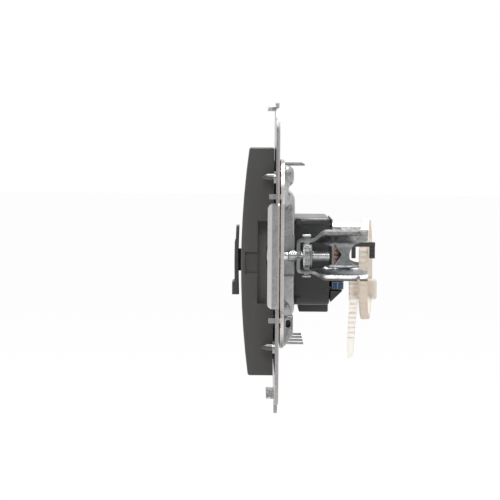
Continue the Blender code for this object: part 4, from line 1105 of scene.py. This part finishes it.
# The centre's X and Z, and the radius, of the flange's round upper corner
FLANGE_CORNER = (21.5, 16.0, 6.0)
FLANGE_MARGIN = 0.2


def fillet_height(knots, z):
    """Height of a fillet at z, smooth between its knots."""
    for (low, start), (high, end) in zip(knots, knots[1:]):
        if z <= high:
            return start + (end - start) * eased(z, low, high)
    return knots[-1][1]


def flange_reach(z):
    """How far out a fillet can go at this height and stay on the flange, whose upper corners are round."""
    across, along, radius = FLANGE_CORNER
    return min(FILLET_X[1], across + math.sqrt(radius ** 2 - max(0.0, z - along) ** 2) - FLANGE_MARGIN)


def fillet_ring(side, z, height):
    """Outline of a fillet at one height: a hollow slope over a flat foot that is sunk in the flange."""
    inner, reach = FILLET_X[0], flange_reach(z)
    ring = []
    for column in range(FILLET_COLUMNS + 1):
        share = column / FILLET_COLUMNS
        slope = (1 + math.cos(math.pi * share ** FILLET_HOLLOW)) / 2
        ring.append((side * (inner + (reach - inner) * share), FLANGE_REAR + FILLET_LIFT + height * slope, z))
    return ring + [(side * x, FLANGE_REAR - FILLET_SUNK, z) for x in (reach, inner)]


def drawn_fillet(side, word, place):
    knots = FILLETS[place]
    low, high = knots[0][0], knots[-1][0]
    count = int((high - low) / FILLET_STEP)
    levels = [low + (high - low) * step / count for step in range(count + 1)]
    shape = bmesh.new()
    capped(shape, [fillet_ring(side, z, fillet_height(knots, z)) for z in levels])
    item = mesh_object("drawn_fillet_" + place + "_" + word, shape)
    dress(item, "chassis_steel", "frame", "galvanised_steel")
    keep_sharp(item, 60)


# Tongue in the seam between the housing and its rear cover

# Limits of X, Y and Z, and how round the edges are
TONGUE = ((16.7, 17.4), (11.33, 11.57), (-4.4, 7.2), 0.05)


def seam_tongue(side, word):
    x, y, z, soft = TONGUE
    shape = bmesh.new()
    block(shape, sided(side, *x), y, z, soft)
    item = mesh_object("seam_tongue_" + word, shape)
    return dress(item, "module_plastic", "frame", "module_plastic")


# CAD nodes: finish and eased edges

PLAIN_EDGE = 0.08
EDGE_WIDTHS = {"claw_chassis": 0.16, "support_ring": 0.12, "centre_cover": 0.12, "slider_knob": 0.12,
               "base_housing": 0.18, "rear_cover": 0.14, "carrier_plate": 0.12}
OWN_FINISH = {"carrier_plate": "carrier_grey", "support_ring": "ring_steel", "claw_chassis": "chassis_steel"}
WELD_WITHIN = 0.000002


def dress_nodes():
    """Gives each CAD node its finish, closes its facets' seams and eases its sharp edges."""
    slots = {entry["node"]: entry["material_slot"] for entry in frame["record"]["subparts"]}
    for name, item in NODES.items():
        item.data.materials.clear()
        give_finishes(item, OWN_FINISH.get(name, slots[name]))
        weld = item.modifiers.new("weld", "WELD")
        weld.merge_threshold = WELD_WITHIN
        ease_edges(item, EDGE_WIDTHS.get(name, PLAIN_EDGE))


bpy.context.scene.view_settings.view_transform = "Standard"
place_camera()
studio_world()
studio_floor()
studio_lamps()
FINISHES = make_finishes()
dress_nodes()
for side, word in ((1, "right"), (-1, "left")):
    claw(side, word)
    claw_screw(side, word)
    claw_nut(side, word)
    seam_tongue(side, word)
    for place in FILLETS:
        drawn_fillet(side, word, place)
tie_loop()
tie_tail()
choke_winding()
release_button(1, "line")
release_button(-1, "load")
